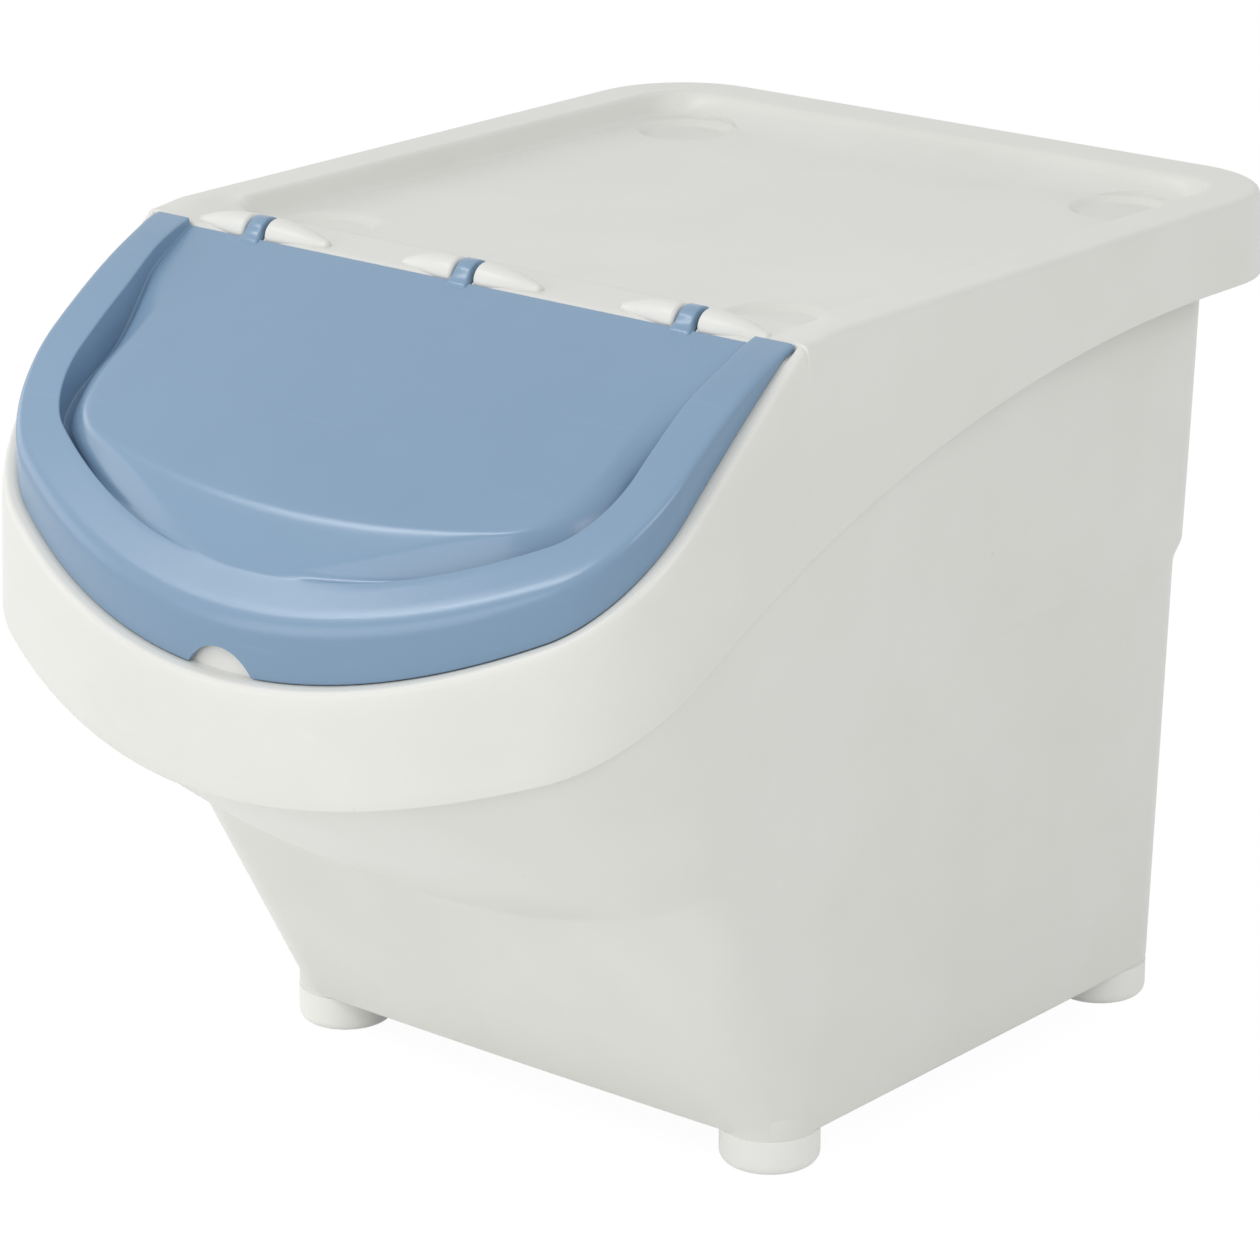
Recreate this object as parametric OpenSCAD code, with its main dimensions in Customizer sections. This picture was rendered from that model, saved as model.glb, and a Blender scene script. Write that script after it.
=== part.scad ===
// Stackable rice bin: an open tub, a hood that drops over its rim, and a flip flap hinged on three pins.
// Millimetres, +Z up, front at -Y, origin on the floor under the middle of the hood's outline.

/* [Overall] */
// Width across the lower edge of the hood's skirt
hood_w = 304; // [290:1:330]
// Depth from the lip to the back of the skirt
hood_d = 423; // [415:1:440]
// Height of the stacking rim above the floor
rim_h = 315.5; // [305:0.5:330]

// Depth of the mouth, from the lip to the hinge strip
mouth_d = 128.1; // [124:0.1:132]

/* [Hood] */
// Wall of the hood
hood_wall = 2.4; // [2:0.1:3]
// Inward lean of the skirt over its height
skirt_draft = 1.5; // [0.5:0.1:2]
// Radius of the hood's back corners in plan
back_corner_r = 43; // [38:1:50]
// Radius of the hood's front corners in plan
front_corner_r = 52; // [46:1:58]
// Radius of the lip's front arc in plan
front_arc_r = 284; // [260:1:320]
// Depth of the skirt at the back
skirt_h = 31; // [26:1:36]
// Height of the lip's lower edge at the front
lip_low_h = 161.5; // [156:0.5:168]
// Rise of the skirt's edge per unit of depth, at the lip
lip_slope = 0.95; // [0.8:0.01:1.1]
// Radius of the rim's outer edge
rim_round = 2.6; // [2:0.1:3.6]
// Height over which the lip's upper edge rounds off
lip_round = 6.5; // [4:0.1:8]
// Width of the rim around the tray
rim_w = 20; // [18:0.5:22]
// Depth of the tray below the rim
tray_depth = 8.5; // [7:0.5:10]
// Clearance of a foot of the bin above in its stacking seat, all round
seat_clear = 0.6; // [0.4:0.1:1]
// Depth of a stacking seat
seat_depth = 2.4; // [1.5:0.1:3]
// Extra radius above a seat, where the tray rises beside it
seat_relief = 0.8; // [0.5:0.1:1.2]
// Height of the upstand that the flap closes over
upstand_h = 12; // [8:0.5:14]

/* [Tub] */
// Wall of the tub
tub_wall = 2.4; // [2:0.1:3]
// Distance from the side of the skirt in to the side of the base
base_inset = 32; // [29:0.5:36]
// Distance from the hinge strip back to the front of the base
base_front_gap = 25.9; // [24:0.1:30]
// Distance from the back of the skirt to the back of the base
base_setback = 31; // [28:1:34]
// Radius of the base's back corners
base_corner_r = 18; // [18:0.5:24]
// Radius of the base's front corners
base_front_r = 25; // [18:0.5:30]
// Radius along the edge of the floor
floor_round = 2.2; // [1.4:0.1:4]
// Radius between the floor and the walls, inside
floor_fillet = 4; // [3:0.5:6]
// Forward lean of the front wall per unit of height
front_lean = 0.55; // [0.5:0.01:0.6]
// Outward lean of the side and back walls below the step, per unit of height
wall_draft = 0.0245; // [0.01:0.0005:0.03]
// Outward lean of the walls above the step, per unit of height
upper_draft = 0.027; // [0.02:0.001:0.04]
// Height of the crease under the scoop, at the front
crease_h = 92; // [86:1:98]
// Outward swell of the scoop and the flare
bulge = 5; // [3:0.5:6]
// Height of the step round the back of the tub
step_h = 181.5; // [176:0.5:188]
// Width of that step
step_w = 2.8; // [1:0.1:3.2]
// Height over which the step leans out
step_rise = 7; // [4:0.5:9]
// Gap between the hood's wall and the tub's rim
rim_gap = 0.8; // [0.5:0.1:1.2]
// Gap between the tub's rim and the hood that rests over it
rest_gap = 0.45; // [0.4:0.05:0.6]

/* [Feet] */
// Height of a foot
foot_h = 13.6; // [11:0.2:16]
// Radius of a foot
foot_r = 18; // [16:0.5:18]
// Radius round a foot's lower edge
foot_round = 3; // [2:0.5:5]
// Rise of the front bosses above the tub's rounded floor
boss_rise = 6; // [2:0.5:8]
// Step from a foot in to its boss
boss_step = 0.3; // [0.2:0.1:1]

/* [Flap] */
// Wall of the flap
flap_wall = 2; // [1.8:0.1:2.4]
// Distance from the hood's outline in to the flap's
flap_inset = 7; // [6.8:0.1:7.4]
// Slope of the mouth at the hinge, in degrees
mouth_rear_slope = 38; // [36:0.5:40]
// Slope of the mouth at the lip, in degrees
mouth_front_slope = 46.6; // [44:0.2:49]
// Slope of the flat panel, in degrees
panel_slope = 31.2; // [30:0.2:32.4]
// Height of the flap's skirt at the front
flap_skirt_h = 19.5; // [17:0.5:21]
// Radius along the flap's outer bend
flap_round = 4.5; // [3.5:0.1:5]
// Width of the border at the sides
border_w = 19.7; // [18.7:0.1:21.7]
// Width of the border at the front
border_front_w = 13; // [12:0.5:14]
// Width of the grooves beside the panel
groove_w = 13.8; // [12.8:0.1:14.8]
// Depth in plan of the slope in front of the panel
slope_d = 12.7; // [11:0.1:14]
// Depth of the side grooves
groove_depth = 8; // [4:0.5:9]
// Gap under the closed flap's edge
flap_gap = 0.4; // [0.3:0.1:0.8]
// Radius of the finger notch
notch_r = 17; // [15:0.5:20]
// Height of the finger notch
notch_h = 8.5; // [7:0.5:10]

/* [Hinge] */
// Distance from the side of the skirt in to an outer hinge
hinge_inset = 53.8; // [50:0.1:60]
// Radius of a pin
pin_r = 2.5; // [2:0.1:2.8]
// Depth to which a pin sits in the hood on each side of its slot
pin_seat = 5; // [4:0.5:7]
// Radial clearance of a pin in the hood
pin_fit = 0.02; // [0.01:0.01:0.05]
// Radial clearance of a hook on its pin
hook_fit = 0.06; // [0.02:0.01:0.1]
// Width of a hook
hook_w = 8.7; // [7:0.1:10]
// Outer radius of a hook
hook_r = 6.2; // [5.4:0.1:6.4]
// Gap on each side of a hook in its slot
slot_gap = 0.6; // [0.4:0.1:1]
// Largest radius of a hinge fairing
fairing_r = 5.5; // [5:0.1:5.7]
// Length of a hinge fairing
fairing_len = 25; // [20:1:26]

/* [Hidden] */
white = [0.87, 0.87, 0.85];
blue = [0.55, 0.65, 0.75];

half_w = hood_w / 2;
hinge_pitch = half_w - hinge_inset;
base_w = hood_w - 2 * base_inset;
front_y = -hood_d / 2;
back_y = hood_d / 2;
skirt_back_z = rim_h - skirt_h;
floor_z = rim_h - tray_depth;

// The hinge line: the flap's rear edge, the hood's strip behind it and the pins' axis.
strip_y = front_y + mouth_d;
hinge_gap = 0.5;
flap_rear_y = strip_y - hinge_gap;
axis_y = strip_y + 6.5;
axis_z = rim_h - 4;
panel_rear_z = rim_h - 4.5;
mouth_rear_z = rim_h - 1.8;
strip_z = rim_h - 4;

// Number of segments along the parts of half an outline.
n_front = 6;
n_corner = 6;
n_back_corner = 5;
n_back = 5;
n_mouth = n_front + n_corner;

function clamp(v, lo, hi) = min(max(v, lo), hi);
function ease(v) = let (u = clamp(v, 0, 1)) u * u * (3 - 2 * u);
function mix(a, b, t) = a + (b - a) * t;

// ---- outlines in plan: [half width, front y, back y, front arc, front corner, back corner] ----
function corner_y(o) = o[1] + o[3] - sqrt(pow(o[3] - o[4], 2) - pow(o[0] - o[4], 2));
function corner_angle(o) = asin((o[0] - o[4]) / (o[3] - o[4]));
function arc_pt(o, a) = [o[3] * sin(a), o[1] + o[3] - o[3] * cos(a)];
function corner_pt(o, a) = [o[0] - o[4] + o[4] * sin(a), corner_y(o) - o[4] * cos(a)];
function back_pt(o, a) = [o[0] - o[5] + o[5] * cos(a), o[2] - o[5] + o[5] * sin(a)];
function mouth_pt(o, i) = i <= n_front
    ? arc_pt(o, corner_angle(o) * i / n_front)
    : corner_pt(o, mix(corner_angle(o), 90, (i - n_front) / n_corner));
function rear_pt(o, i) = i <= n_back_corner
    ? back_pt(o, 90 * i / n_back_corner)
    : [(o[0] - o[5]) * (1 - (i - n_back_corner) / n_back), o[2]];

// ---- heights that follow the depth ----
// The skirt's lower edge is a curve from the back of the skirt to the lip.
skirt_bend_y = back_y - 61;
function skirt_curve(t) = let (s = 1 - t) [
    s * s * s * skirt_bend_y + 3 * s * s * t * (skirt_bend_y - 190)
        + 3 * s * t * t * (front_y + 50) + t * t * t * front_y,
    (s * s * s + 3 * s * s * t) * skirt_back_z
        + 3 * s * t * t * (lip_low_h + 50 * lip_slope) + t * t * t * lip_low_h];
skirt_table = [for (k = [32:-1:0]) skirt_curve(k / 32)];
function skirt_z(y) = y > skirt_bend_y ? skirt_back_z : lookup(y, skirt_table);

// The mouth: the visible lower edge of the flap, its outer bend, its real edge and its flat panel.
mouth_len = flap_rear_y - (front_y + flap_inset);
mouth_bend = (tan(mouth_front_slope) - tan(mouth_rear_slope)) / (2 * mouth_len);
function mouth_t(y) = max(0, flap_rear_y - y);
function mouth_z(y) = mouth_rear_z - tan(mouth_rear_slope) * mouth_t(y) - mouth_bend * pow(mouth_t(y), 2);
function bend_h(y) = (flap_skirt_h - 6.5) * (1 - exp(-mouth_t(y) / 28)) + 6.5 * mouth_t(y) / mouth_len;
function border_z(y) = mouth_z(y) + bend_h(y);
function border_in_z(y) = border_z(y) - 0.5 * mouth_t(y) / mouth_len;
function edge_z(y) = min(mouth_z(y), border_z(y) - flap_wall - 0.6);
function panel_z(y) = panel_rear_z - tan(panel_slope) * mouth_t(y);

// The tray: a wide cove along the back, a rounded wall at the sides and a low wall at the front.
cove_len = 33;
function cove_y(x) = back_y - rim_w - cove_len + 17 * pow(x / 105, 2);
function tray_z(x, y) = floor_z
    + tray_depth * pow(clamp((y - cove_y(x)) / (back_y - rim_w - cove_y(x)), 0, 1), 2);
tray_front_y = strip_y + 33;
function rim_z(y) = rim_h - 1.6 * ease((strip_y + 18 - y) / 18);
function inner_z(x, y) = mix(tray_z(x, y), strip_z, ease((tray_front_y - y) / 7));
function wall_start(y) = mix(rim_w, 10, ease((tray_front_y - y) / 12));
function wall_end(y) = mix(rim_w + 6, 28, ease((tray_front_y - y) / 12));
function top_z(x, y, d) = let (t = (d - wall_start(y)) / (wall_end(y) - wall_start(y)))
    mix(rim_z(y), inner_z(x, y), ease(t));

// ---- hood: a closed band of profiles round the outline, and a patch across the tray and the strip ----
band_in = rim_w + 9;
function hood_outline(d) = [half_w - d, front_y + d, back_y - d, front_arc_r - d, front_corner_r - d,
    back_corner_r - d];

// Depths of the side's columns: the mouth's rear part, the step up to the strip, the strip and the tray.
mouth_cols = 7;
step_cols = 3;
tray_ys = [strip_y + 3, strip_y + 8, strip_y + 15, strip_y + 21, strip_y + 24, strip_y + 26.5, strip_y + 29,
    strip_y + 31, strip_y + 33, strip_y + 38, for (t = [0.15, 0.43, 0.71])
        mix(strip_y + 38, back_y - back_corner_r, t)];
n_tray = len(tray_ys);
step_ys = [strip_y, strip_y + 0.1, strip_y + 0.4, strip_y + 1.2];
n_hood_side = mouth_cols + step_cols + n_tray + 1;
n_hood_half = n_mouth + n_hood_side + n_back_corner + n_back;
first_step = n_mouth + mouth_cols;
first_tray = first_step + step_cols + 1;
corner_start = n_mouth + n_hood_side;
corner_end = corner_start + n_back_corner;

function rear_share(i) = 1 - pow(1 - i / mouth_cols, 1.3);
function side_y(i) = let (y0 = corner_y(hood_outline(0))) i <= mouth_cols
    ? mix(y0, strip_y, rear_share(i))
    : i <= mouth_cols + step_cols
        ? step_ys[i - mouth_cols]
        : tray_ys[i - mouth_cols - step_cols - 1];
function hood_pt(i, d) = let (o = hood_outline(d)) i <= n_mouth
    ? mouth_pt(o, i)
    : i < corner_start
        ? [o[0], side_y(i - n_mouth)]
        : rear_pt(o, i - corner_start);

// Profile of the mouth, as [inset, height]: wall, shoulder, ledge, upstand and inner edge.
upstand_in = flap_inset + flap_wall + 1.2;
function mouth_in(i) = i <= n_mouth
    ? upstand_in + 2.4
    : mix(upstand_in + 2.4, band_in, 1 - sqrt(1 - pow(clamp((i - n_mouth - 3) / 3, 0, 1), 2)));
function mouth_profile(i) =
    let (y = hood_pt(i, flap_inset)[1], low = skirt_z(hood_pt(i, 0)[1]), top = mouth_z(y) - flap_gap,
        ledge = edge_z(y) - flap_gap, d0 = skirt_draft,
        up = clamp(border_z(y) - flap_wall - 1.2 - ledge, 0.1, upstand_h), last = mouth_in(i))
    [[0, low], [0.5 * d0, mix(low, top - lip_round, 0.5)], [d0, top - lip_round],
        [d0 + 1.3, top - 0.3 * lip_round], [flap_inset - 1.4, top], [flap_inset - 0.7, ledge],
        [upstand_in - 0.4, ledge], [upstand_in, ledge + up], [upstand_in + 1.4, ledge + up],
        [upstand_in + 1.8, ledge + 0.05], [upstand_in + 2.2, ledge],
        [last, ledge - 0.3 * (last - upstand_in - 2.2)]];

// Profile over the rim and into the tray.
rim_steps = [rim_w, rim_w + 1.5, rim_w + 3, rim_w + 4.5, rim_w + 6.2, band_in];
function rim_profile(i) =
    let (p = hood_pt(i, 0), y = p[1], low = skirt_z(y), top = rim_z(y), d0 = skirt_draft)
    concat([[0, low], [0.5 * d0, mix(low, top - rim_round, 0.5)], [d0, top - rim_round],
        [d0 + 0.29 * rim_round, top - 0.29 * rim_round], [d0 + rim_round, top],
        [rim_w / 2 + 2, top_z(p[0], y, 12)]],
        [for (d = rim_steps) let (q = hood_pt(i, d)) [d, top_z(q[0], q[1], d)]]);

step_mix = [0, 0.45, 0.8, 0.96];
function hood_profile(i) = i < first_step
    ? mouth_profile(i)
    : i < first_tray
        ? mix(mouth_profile(first_step), rim_profile(first_tray), step_mix[i - first_step])
        : rim_profile(i);

// The profile's inner side: a parallel line, and a flat one under the mouth's ledge.
function profile_inside(p) = [for (k = [0:11])
    let (a = p[max(k - 1, 0)], b = p[min(k + 1, 11)], n = norm(b - a))
    p[k] + hood_wall * [b[1] - a[1], a[0] - b[0]] / n];
function mouth_inside(p) = let (q = profile_inside(p)) [for (k = [0:11])
    k == 0 ? [hood_wall, p[0][1]]
    : k < 4 ? q[k]
    : k < 11 ? [max(p[k][0], q[3][0] + 0.3 * k), p[5][1] - hood_wall]
        : p[11] - [0, hood_wall]];
function rim_inside(p, y) = let (q = profile_inside(p)) [for (k = [0:11])
    k == 0 ? [hood_wall, p[0][1]] : k == 11 ? [p[11][0], under_z(y, p[11][1])] : q[k]];
function under_z(y, z) = y > tray_front_y - 9 ? min(z, floor_z) - hood_wall : z - hood_wall;
function hood_inside(i) = i <= first_step
    ? mouth_inside(mouth_profile(i))
    : i < first_tray
        ? mix(mouth_inside(mouth_profile(first_step)), rim_inside(rim_profile(first_tray), tray_ys[0]),
            step_mix[i - first_step])
        : rim_inside(rim_profile(i), hood_pt(i, band_in)[1]);
function inside_shift(i) = i < first_step || i >= first_tray ? 0 : [2.2, 2.15, 1.95, 1.4][i - first_step];

function place(i, p, shift) = let (q = hood_pt(i, p[0])) [q[0], q[1] + shift, p[1]];
function mirrored(p) = [-p[0], p[1], p[2]];

// The loop's columns run from the front's middle over the right side to the back's middle, then on to the
// left.
n_loop = 2 * n_hood_half;
function half_of(j, n) = j <= n ? j : 2 * n - j;
function loop_pt(p, j, n) = j <= n ? p : mirrored(p);

hood_outer = [for (j = [0:n_loop - 1]) let (i = half_of(j, n_hood_half), p = hood_profile(i))
    [for (k = [0:11]) loop_pt(place(i, p[k], 0), j, n_hood_half)]];
hood_inner = [for (j = [0:n_loop - 1]) let (i = half_of(j, n_hood_half), p = hood_inside(i))
    [for (k = [0:11]) loop_pt(place(i, p[k], inside_shift(i)), j, n_hood_half)]];

// Rows of the patch join the right side's columns to the left side's, from the strip's web to the back
// corner.
row_count = corner_end - first_step;
row_cells = 2 * n_back;
function row_pt(r, c, grid) =
    let (a = grid[first_step + r][11], b = mirrored(a), x = mix(a[0], b[0], c / row_cells),
        lift = a[1] > tray_front_y ? tray_z(x, a[1]) - tray_z(a[0], a[1]) : 0)
    [x, a[1], a[2] + lift];

band_size = n_loop * 12;
patch_size = row_count * (row_cells - 1);
function band_id(side, j, k) = side * band_size + (j % n_loop) * 12 + k;
function patch_id(side, r, c) = r == row_count
    ? band_id(side, corner_end + c, 11)
    : c == 0
        ? band_id(side, first_step + r, 11)
        : c == row_cells
            ? band_id(side, n_loop - first_step - r, 11)
            : 2 * band_size + side * patch_size + r * (row_cells - 1) + c - 1;

hood_points = concat(
    [for (col = hood_outer) for (p = col) p],
    [for (col = hood_inner) for (p = col) p],
    [for (r = [0:row_count - 1]) for (c = [1:row_cells - 1]) row_pt(r, c, hood_outer)],
    [for (r = [0:row_count - 1]) for (c = [1:row_cells - 1]) row_pt(r, c, hood_inner)]);

// Two triangles across four corners that run clockwise as seen from outside.
function quad(a, b, c, d) = [[a, b, c], [a, c, d]];

hood_faces = concat(
    [for (j = [0:n_loop - 1]) for (k = [0:10]) for (f = quad(band_id(0, j, k), band_id(0, j, k + 1),
        band_id(0, j + 1, k + 1), band_id(0, j + 1, k))) f],
    [for (j = [0:n_loop - 1]) for (k = [0:10]) for (f = quad(band_id(1, j, k), band_id(1, j + 1, k),
        band_id(1, j + 1, k + 1), band_id(1, j, k + 1))) f],
    [for (j = [0:n_loop - 1]) for (f = quad(band_id(0, j, 0), band_id(0, j + 1, 0),
        band_id(1, j + 1, 0), band_id(1, j, 0))) f],
    [for (j = [-first_step:first_step - 1]) let (a = (j + n_loop) % n_loop) for (f = quad(band_id(0, a, 11),
        band_id(1, a, 11), band_id(1, a + 1, 11), band_id(0, a + 1, 11))) f],
    [for (r = [0:row_count - 1]) for (c = [0:row_cells - 1]) for (f = quad(patch_id(0, r, c),
        patch_id(0, r, c + 1), patch_id(0, r + 1, c + 1), patch_id(0, r + 1, c))) f],
    [for (r = [0:row_count - 1]) for (c = [0:row_cells - 1]) for (f = quad(patch_id(1, r, c),
        patch_id(1, r + 1, c), patch_id(1, r + 1, c + 1), patch_id(1, r, c + 1))) f],
    [for (c = [0:row_cells - 1]) for (f = quad(patch_id(0, 0, c), patch_id(1, 0, c),
        patch_id(1, 0, c + 1), patch_id(0, 0, c + 1))) f]);

module hood_shell() {
    polyhedron(points = hood_points, faces = hood_faces, convexity = 10);
}

// Centre of a foot, and of the seat above it: fx is -1 or 1 across, fy is 0 at the front and 1 at the back.
base_back = back_y - base_setback;
base_front = strip_y + base_front_gap;
function foot_at(fx, fy) = [fx * (base_w / 2 - base_corner_r),
    mix(base_front + base_corner_r, base_back - base_corner_r, fy)];

slot_w = hook_w + 2 * slot_gap;
module along_x(x, y, z) {
    translate([x, y, z])
        rotate([0, 90, 0])
            children();
}
module hinge_fairing(x) {
    along_x(x + slot_w / 2 - 0.5, axis_y, axis_z)
        cylinder(h = fairing_len, r1 = fairing_r, r2 = 1.2, $fn = 40);
    along_x(x - slot_w / 2 + 0.5 - fairing_len, axis_y, axis_z)
        cylinder(h = fairing_len, r1 = 1.2, r2 = fairing_r, $fn = 40);
}
module seat_floor(fx, fy) {
    p = foot_at(fx, fy);
    translate([p[0], p[1], floor_z - seat_depth - hood_wall])
        cylinder(h = seat_depth + hood_wall - 0.5, r = foot_r + seat_clear + hood_wall, $fn = 72);
}
module seat_pocket(fx, fy) {
    p = foot_at(fx, fy);
    translate([p[0], p[1], floor_z - seat_depth])
        cylinder(h = seat_depth + 0.01, r = foot_r + seat_clear, $fn = 72);
    translate([p[0], p[1], floor_z])
        cylinder(h = tray_depth, r = foot_r + seat_clear + seat_relief, $fn = 72);
}

module hood() {
    color(white)
    difference() {
        union() {
            hood_shell();
            for (x = [-hinge_pitch, 0, hinge_pitch])
                hinge_fairing(x);
            for (fx = [-1, 1])
                for (fy = [0, 1])
                    seat_floor(fx, fy);
        }
        for (fx = [-1, 1])
            for (fy = [0, 1])
                seat_pocket(fx, fy);
        for (x = [-hinge_pitch, 0, hinge_pitch]) {
            translate([x - slot_w / 2, strip_y - 4, axis_z - 16])
                cube([slot_w, axis_y + hook_r + 0.7 - strip_y + 4, 32]);
            along_x(x - slot_w / 2 - pin_seat, axis_y, axis_z)
                cylinder(h = slot_w + 2 * pin_seat, r = pin_r + pin_fit, $fn = 48);
        }
    }
}

// ---- tub: rings from the floor over the crease and the scoop to the rim, with a parallel inner side ----
n_tub_side = 10;
n_tub_half = n_mouth + n_tub_side + n_back_corner + n_back;
n_tub = 2 * n_tub_half;
flat_r = 40 * half_w;
function tub_pt(o, i) = i <= n_mouth
    ? mouth_pt(o, i)
    : i < n_mouth + n_tub_side
        ? [o[0], mix(corner_y(o), o[2] - o[5], (i - n_mouth) / n_tub_side)]
        : rear_pt(o, i - n_mouth - n_tub_side);
function body_outline(z, d) = let (h = z - foot_h) [base_w / 2 + wall_draft * h - d,
    base_front - front_lean * h + d, base_back + wall_draft * h - d, flat_r - d, base_front_r - d,
    base_corner_r - d];
function upper_outline(z) = let (o = body_outline(step_h, -step_w), u = upper_draft * (z - step_h))
    [o[0] + u, o[1], o[2] + u, o[3], o[4], o[5]];

crease_side_h = crease_h + 32;
// The crease climbs, and the wall comes out flush with the hood, over this depth of the side.
side_blend_l = 230;
crease_start_y = strip_y - 1.6;
flush_start_y = strip_y + 3.4;
// Length of the flared wall that the bulge is set for.
flare_l = 129;
// The step fades in over this depth in front of the back wall.
step_blend_l = 60;
step_blend_y = back_y - 171.5;
function crease_on(i, y) = i <= n_front
    ? crease_h + 18 * pow(i / n_front, 2)
    : i <= n_mouth
        ? mix(crease_h + 18, crease_side_h, (i - n_front) / n_corner)
        : mix(step_h, crease_side_h, pow(1 - clamp((y - crease_start_y) / side_blend_l, 0, 1), 2));
function crease_from(i, z) = crease_on(i, tub_pt(body_outline(z, 0), i)[1]);
function crease_z(i) = crease_from(i, crease_from(i, crease_from(i, crease_side_h)));

function lift(p, z) = [p[0], p[1], z];
function tub_column(i) =
    let (z1 = crease_z(i),
        yh = tub_pt(hood_outline(0), i)[1],
        low = skirt_z(yh),
        back_mix = ease((tub_pt(body_outline(z1, 0), i)[1] - step_blend_y) / step_blend_l),
        z0 = z1 - step_rise * back_mix,
        p1 = lift(tub_pt(body_outline(z0, 0), i), z0),
        flush = ease((yh - flush_start_y) / side_blend_l),
        in0 = hood_wall + rim_gap,
        p2 = lift(mix(tub_pt(hood_outline(in0), i), tub_pt(upper_outline(low), i), flush), low + 1),
        s = mix(mix(p1, p2, 0.03), lift(tub_pt(body_outline(z1, -step_w), i), z1), back_mix),
        v = p2 - s, run = sqrt(v[0] * v[0] + v[1] * v[1]),
        out = [v[0] * v[2], v[1] * v[2], -run * run] / norm(v) * bulge / flare_l,
        top = rim_top(yh))
    [lift(tub_pt(body_outline(foot_h, floor_round), i), foot_h),
        lift(tub_pt(body_outline(foot_h, 0.29 * floor_round), i), foot_h + 0.29 * floor_round),
        lift(tub_pt(body_outline(foot_h + floor_round, 0), i), foot_h + floor_round),
        p1, s, mix(s, p2, 0.2) + 0.64 * out, mix(s, p2, 0.45) + 0.99 * out, mix(s, p2, 0.75) + 0.75 * out,
        p2,
        lift(tub_pt(hood_outline(in0 + 0.3 * skirt_draft), i), low + 10),
        lift(tub_pt(hood_outline(in0 + skirt_draft + 1.3), i), top)];
function rim_top(y) = mix(edge_z(y) - flap_gap, rim_h, ease((y - strip_y - 4) / 24)) - hood_wall - rest_gap;
tub_rings = 11;

tub_outer = [for (j = [0:n_tub - 1]) let (i = half_of(j, n_tub_half), col = tub_column(i))
    [for (p = col) loop_pt(p, j, n_tub_half)]];
function unit(v) = v / norm(v);
function fillet_in(rise) = floor_fillet - sqrt(floor_fillet * floor_fillet - pow(floor_fillet - rise, 2));
function fillet_pt(i, rise) = let (z = foot_h + tub_wall + rise)
    lift(tub_pt(body_outline(z, tub_wall + fillet_in(rise)), i), z);
tub_inner = [for (j = [0:n_tub - 1])
    let (a = tub_outer[(j + n_tub - 1) % n_tub], b = tub_outer[(j + 1) % n_tub], c = tub_outer[j])
    [for (k = [0:tub_rings - 1])
        let (n = unit(cross(b[k] - a[k], c[min(k + 1, tub_rings - 1)] - c[max(k - 1, 0)])),
            q = c[k] - tub_wall * n, rise = [0, 0.29, 1][k])
        k <= 2 ? loop_pt(fillet_pt(half_of(j, n_tub_half), floor_fillet * rise), j, n_tub_half)
            : k == tub_rings - 1 ? lift(q, c[k][2]) : q]];

function tub_id(j, k) = (j % n_tub) * tub_rings + k;
// A grid of rings closed across the floor and across the top: strips from side to side, then a fan to the
// straight back edge.
back_col = n_tub_half - n_back;
function turn_face(f, flip) = flip ? f : [f[2], f[1], f[0]];
function across(k, flip) = concat(
    [for (j = [0:back_col - 2])
        let (m = n_tub - j, a = tub_id(j, k), b = tub_id(m, k), c = tub_id(m - 1, k), d = tub_id(j + 1, k))
        for (f = quad(a, b, c, d)) if (f[0] != f[1] && f[1] != f[2]) turn_face(f, flip)],
    [for (j = [back_col:n_tub - back_col])
        turn_face([tub_id(back_col - 1, k), tub_id(j + 1, k), tub_id(j, k)], flip)]);
tub_faces = concat(
    [for (j = [0:n_tub - 1]) for (k = [0:tub_rings - 2]) for (f = quad(tub_id(j, k), tub_id(j, k + 1),
        tub_id(j + 1, k + 1), tub_id(j + 1, k))) f],
    across(0, false), across(tub_rings - 1, true));
module tub_solid(grid) {
    polyhedron(points = [for (c = grid) for (p = c) p], faces = tub_faces, convexity = 10);
}
// The top ring of the hollow stands clear above the rim.
tub_hollow = [for (c = tub_inner)
    [for (k = [0:tub_rings - 1]) k == tub_rings - 1 ? c[k] + [0, 0, 8] : c[k]]];

// A boss under each corner carries a foot's round up into the leaning wall.
module boss(fx, fy, h) {
    p = foot_at(fx, fy);
    translate([p[0], p[1], foot_h])
        cylinder(h = h, r = foot_r - boss_step, $fn = 72);
}
module tub() {
    color(white)
    difference() {
        union() {
            tub_solid(tub_outer);
            for (fx = [-1, 1]) {
                boss(fx, 0, floor_round + boss_rise);
                boss(fx, 1, floor_round);
            }
        }
        tub_solid(tub_hollow);
    }
}

// ---- feet ----
module foot(fx, fy) {
    p = foot_at(fx, fy);
    color(white)
    translate([p[0], p[1], 0])
        rotate_extrude($fn = 72)
            polygon([[0, 0], [foot_r - foot_round, 0], [foot_r - 0.62 * foot_round, 0.08 * foot_round],
                [foot_r - 0.29 * foot_round, 0.29 * foot_round],
                [foot_r - 0.08 * foot_round, 0.62 * foot_round],
                [foot_r, foot_round], [foot_r, foot_h], [0, foot_h]]);
}
module foot_front_left() {
    foot(-1, 0);
}
module foot_front_right() {
    foot(1, 0);
}
module foot_back_left() {
    foot(-1, 1);
}
module foot_back_right() {
    foot(1, 1);
}

// ---- flap: a band from its lower edge over the border and the groove to the panel, and the panel ----
n_flap_half = n_mouth + mouth_cols;
n_flap = 2 * n_flap_half + 1;
flap_rings = 10;
flap_outline = hood_outline(flap_inset);
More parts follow.
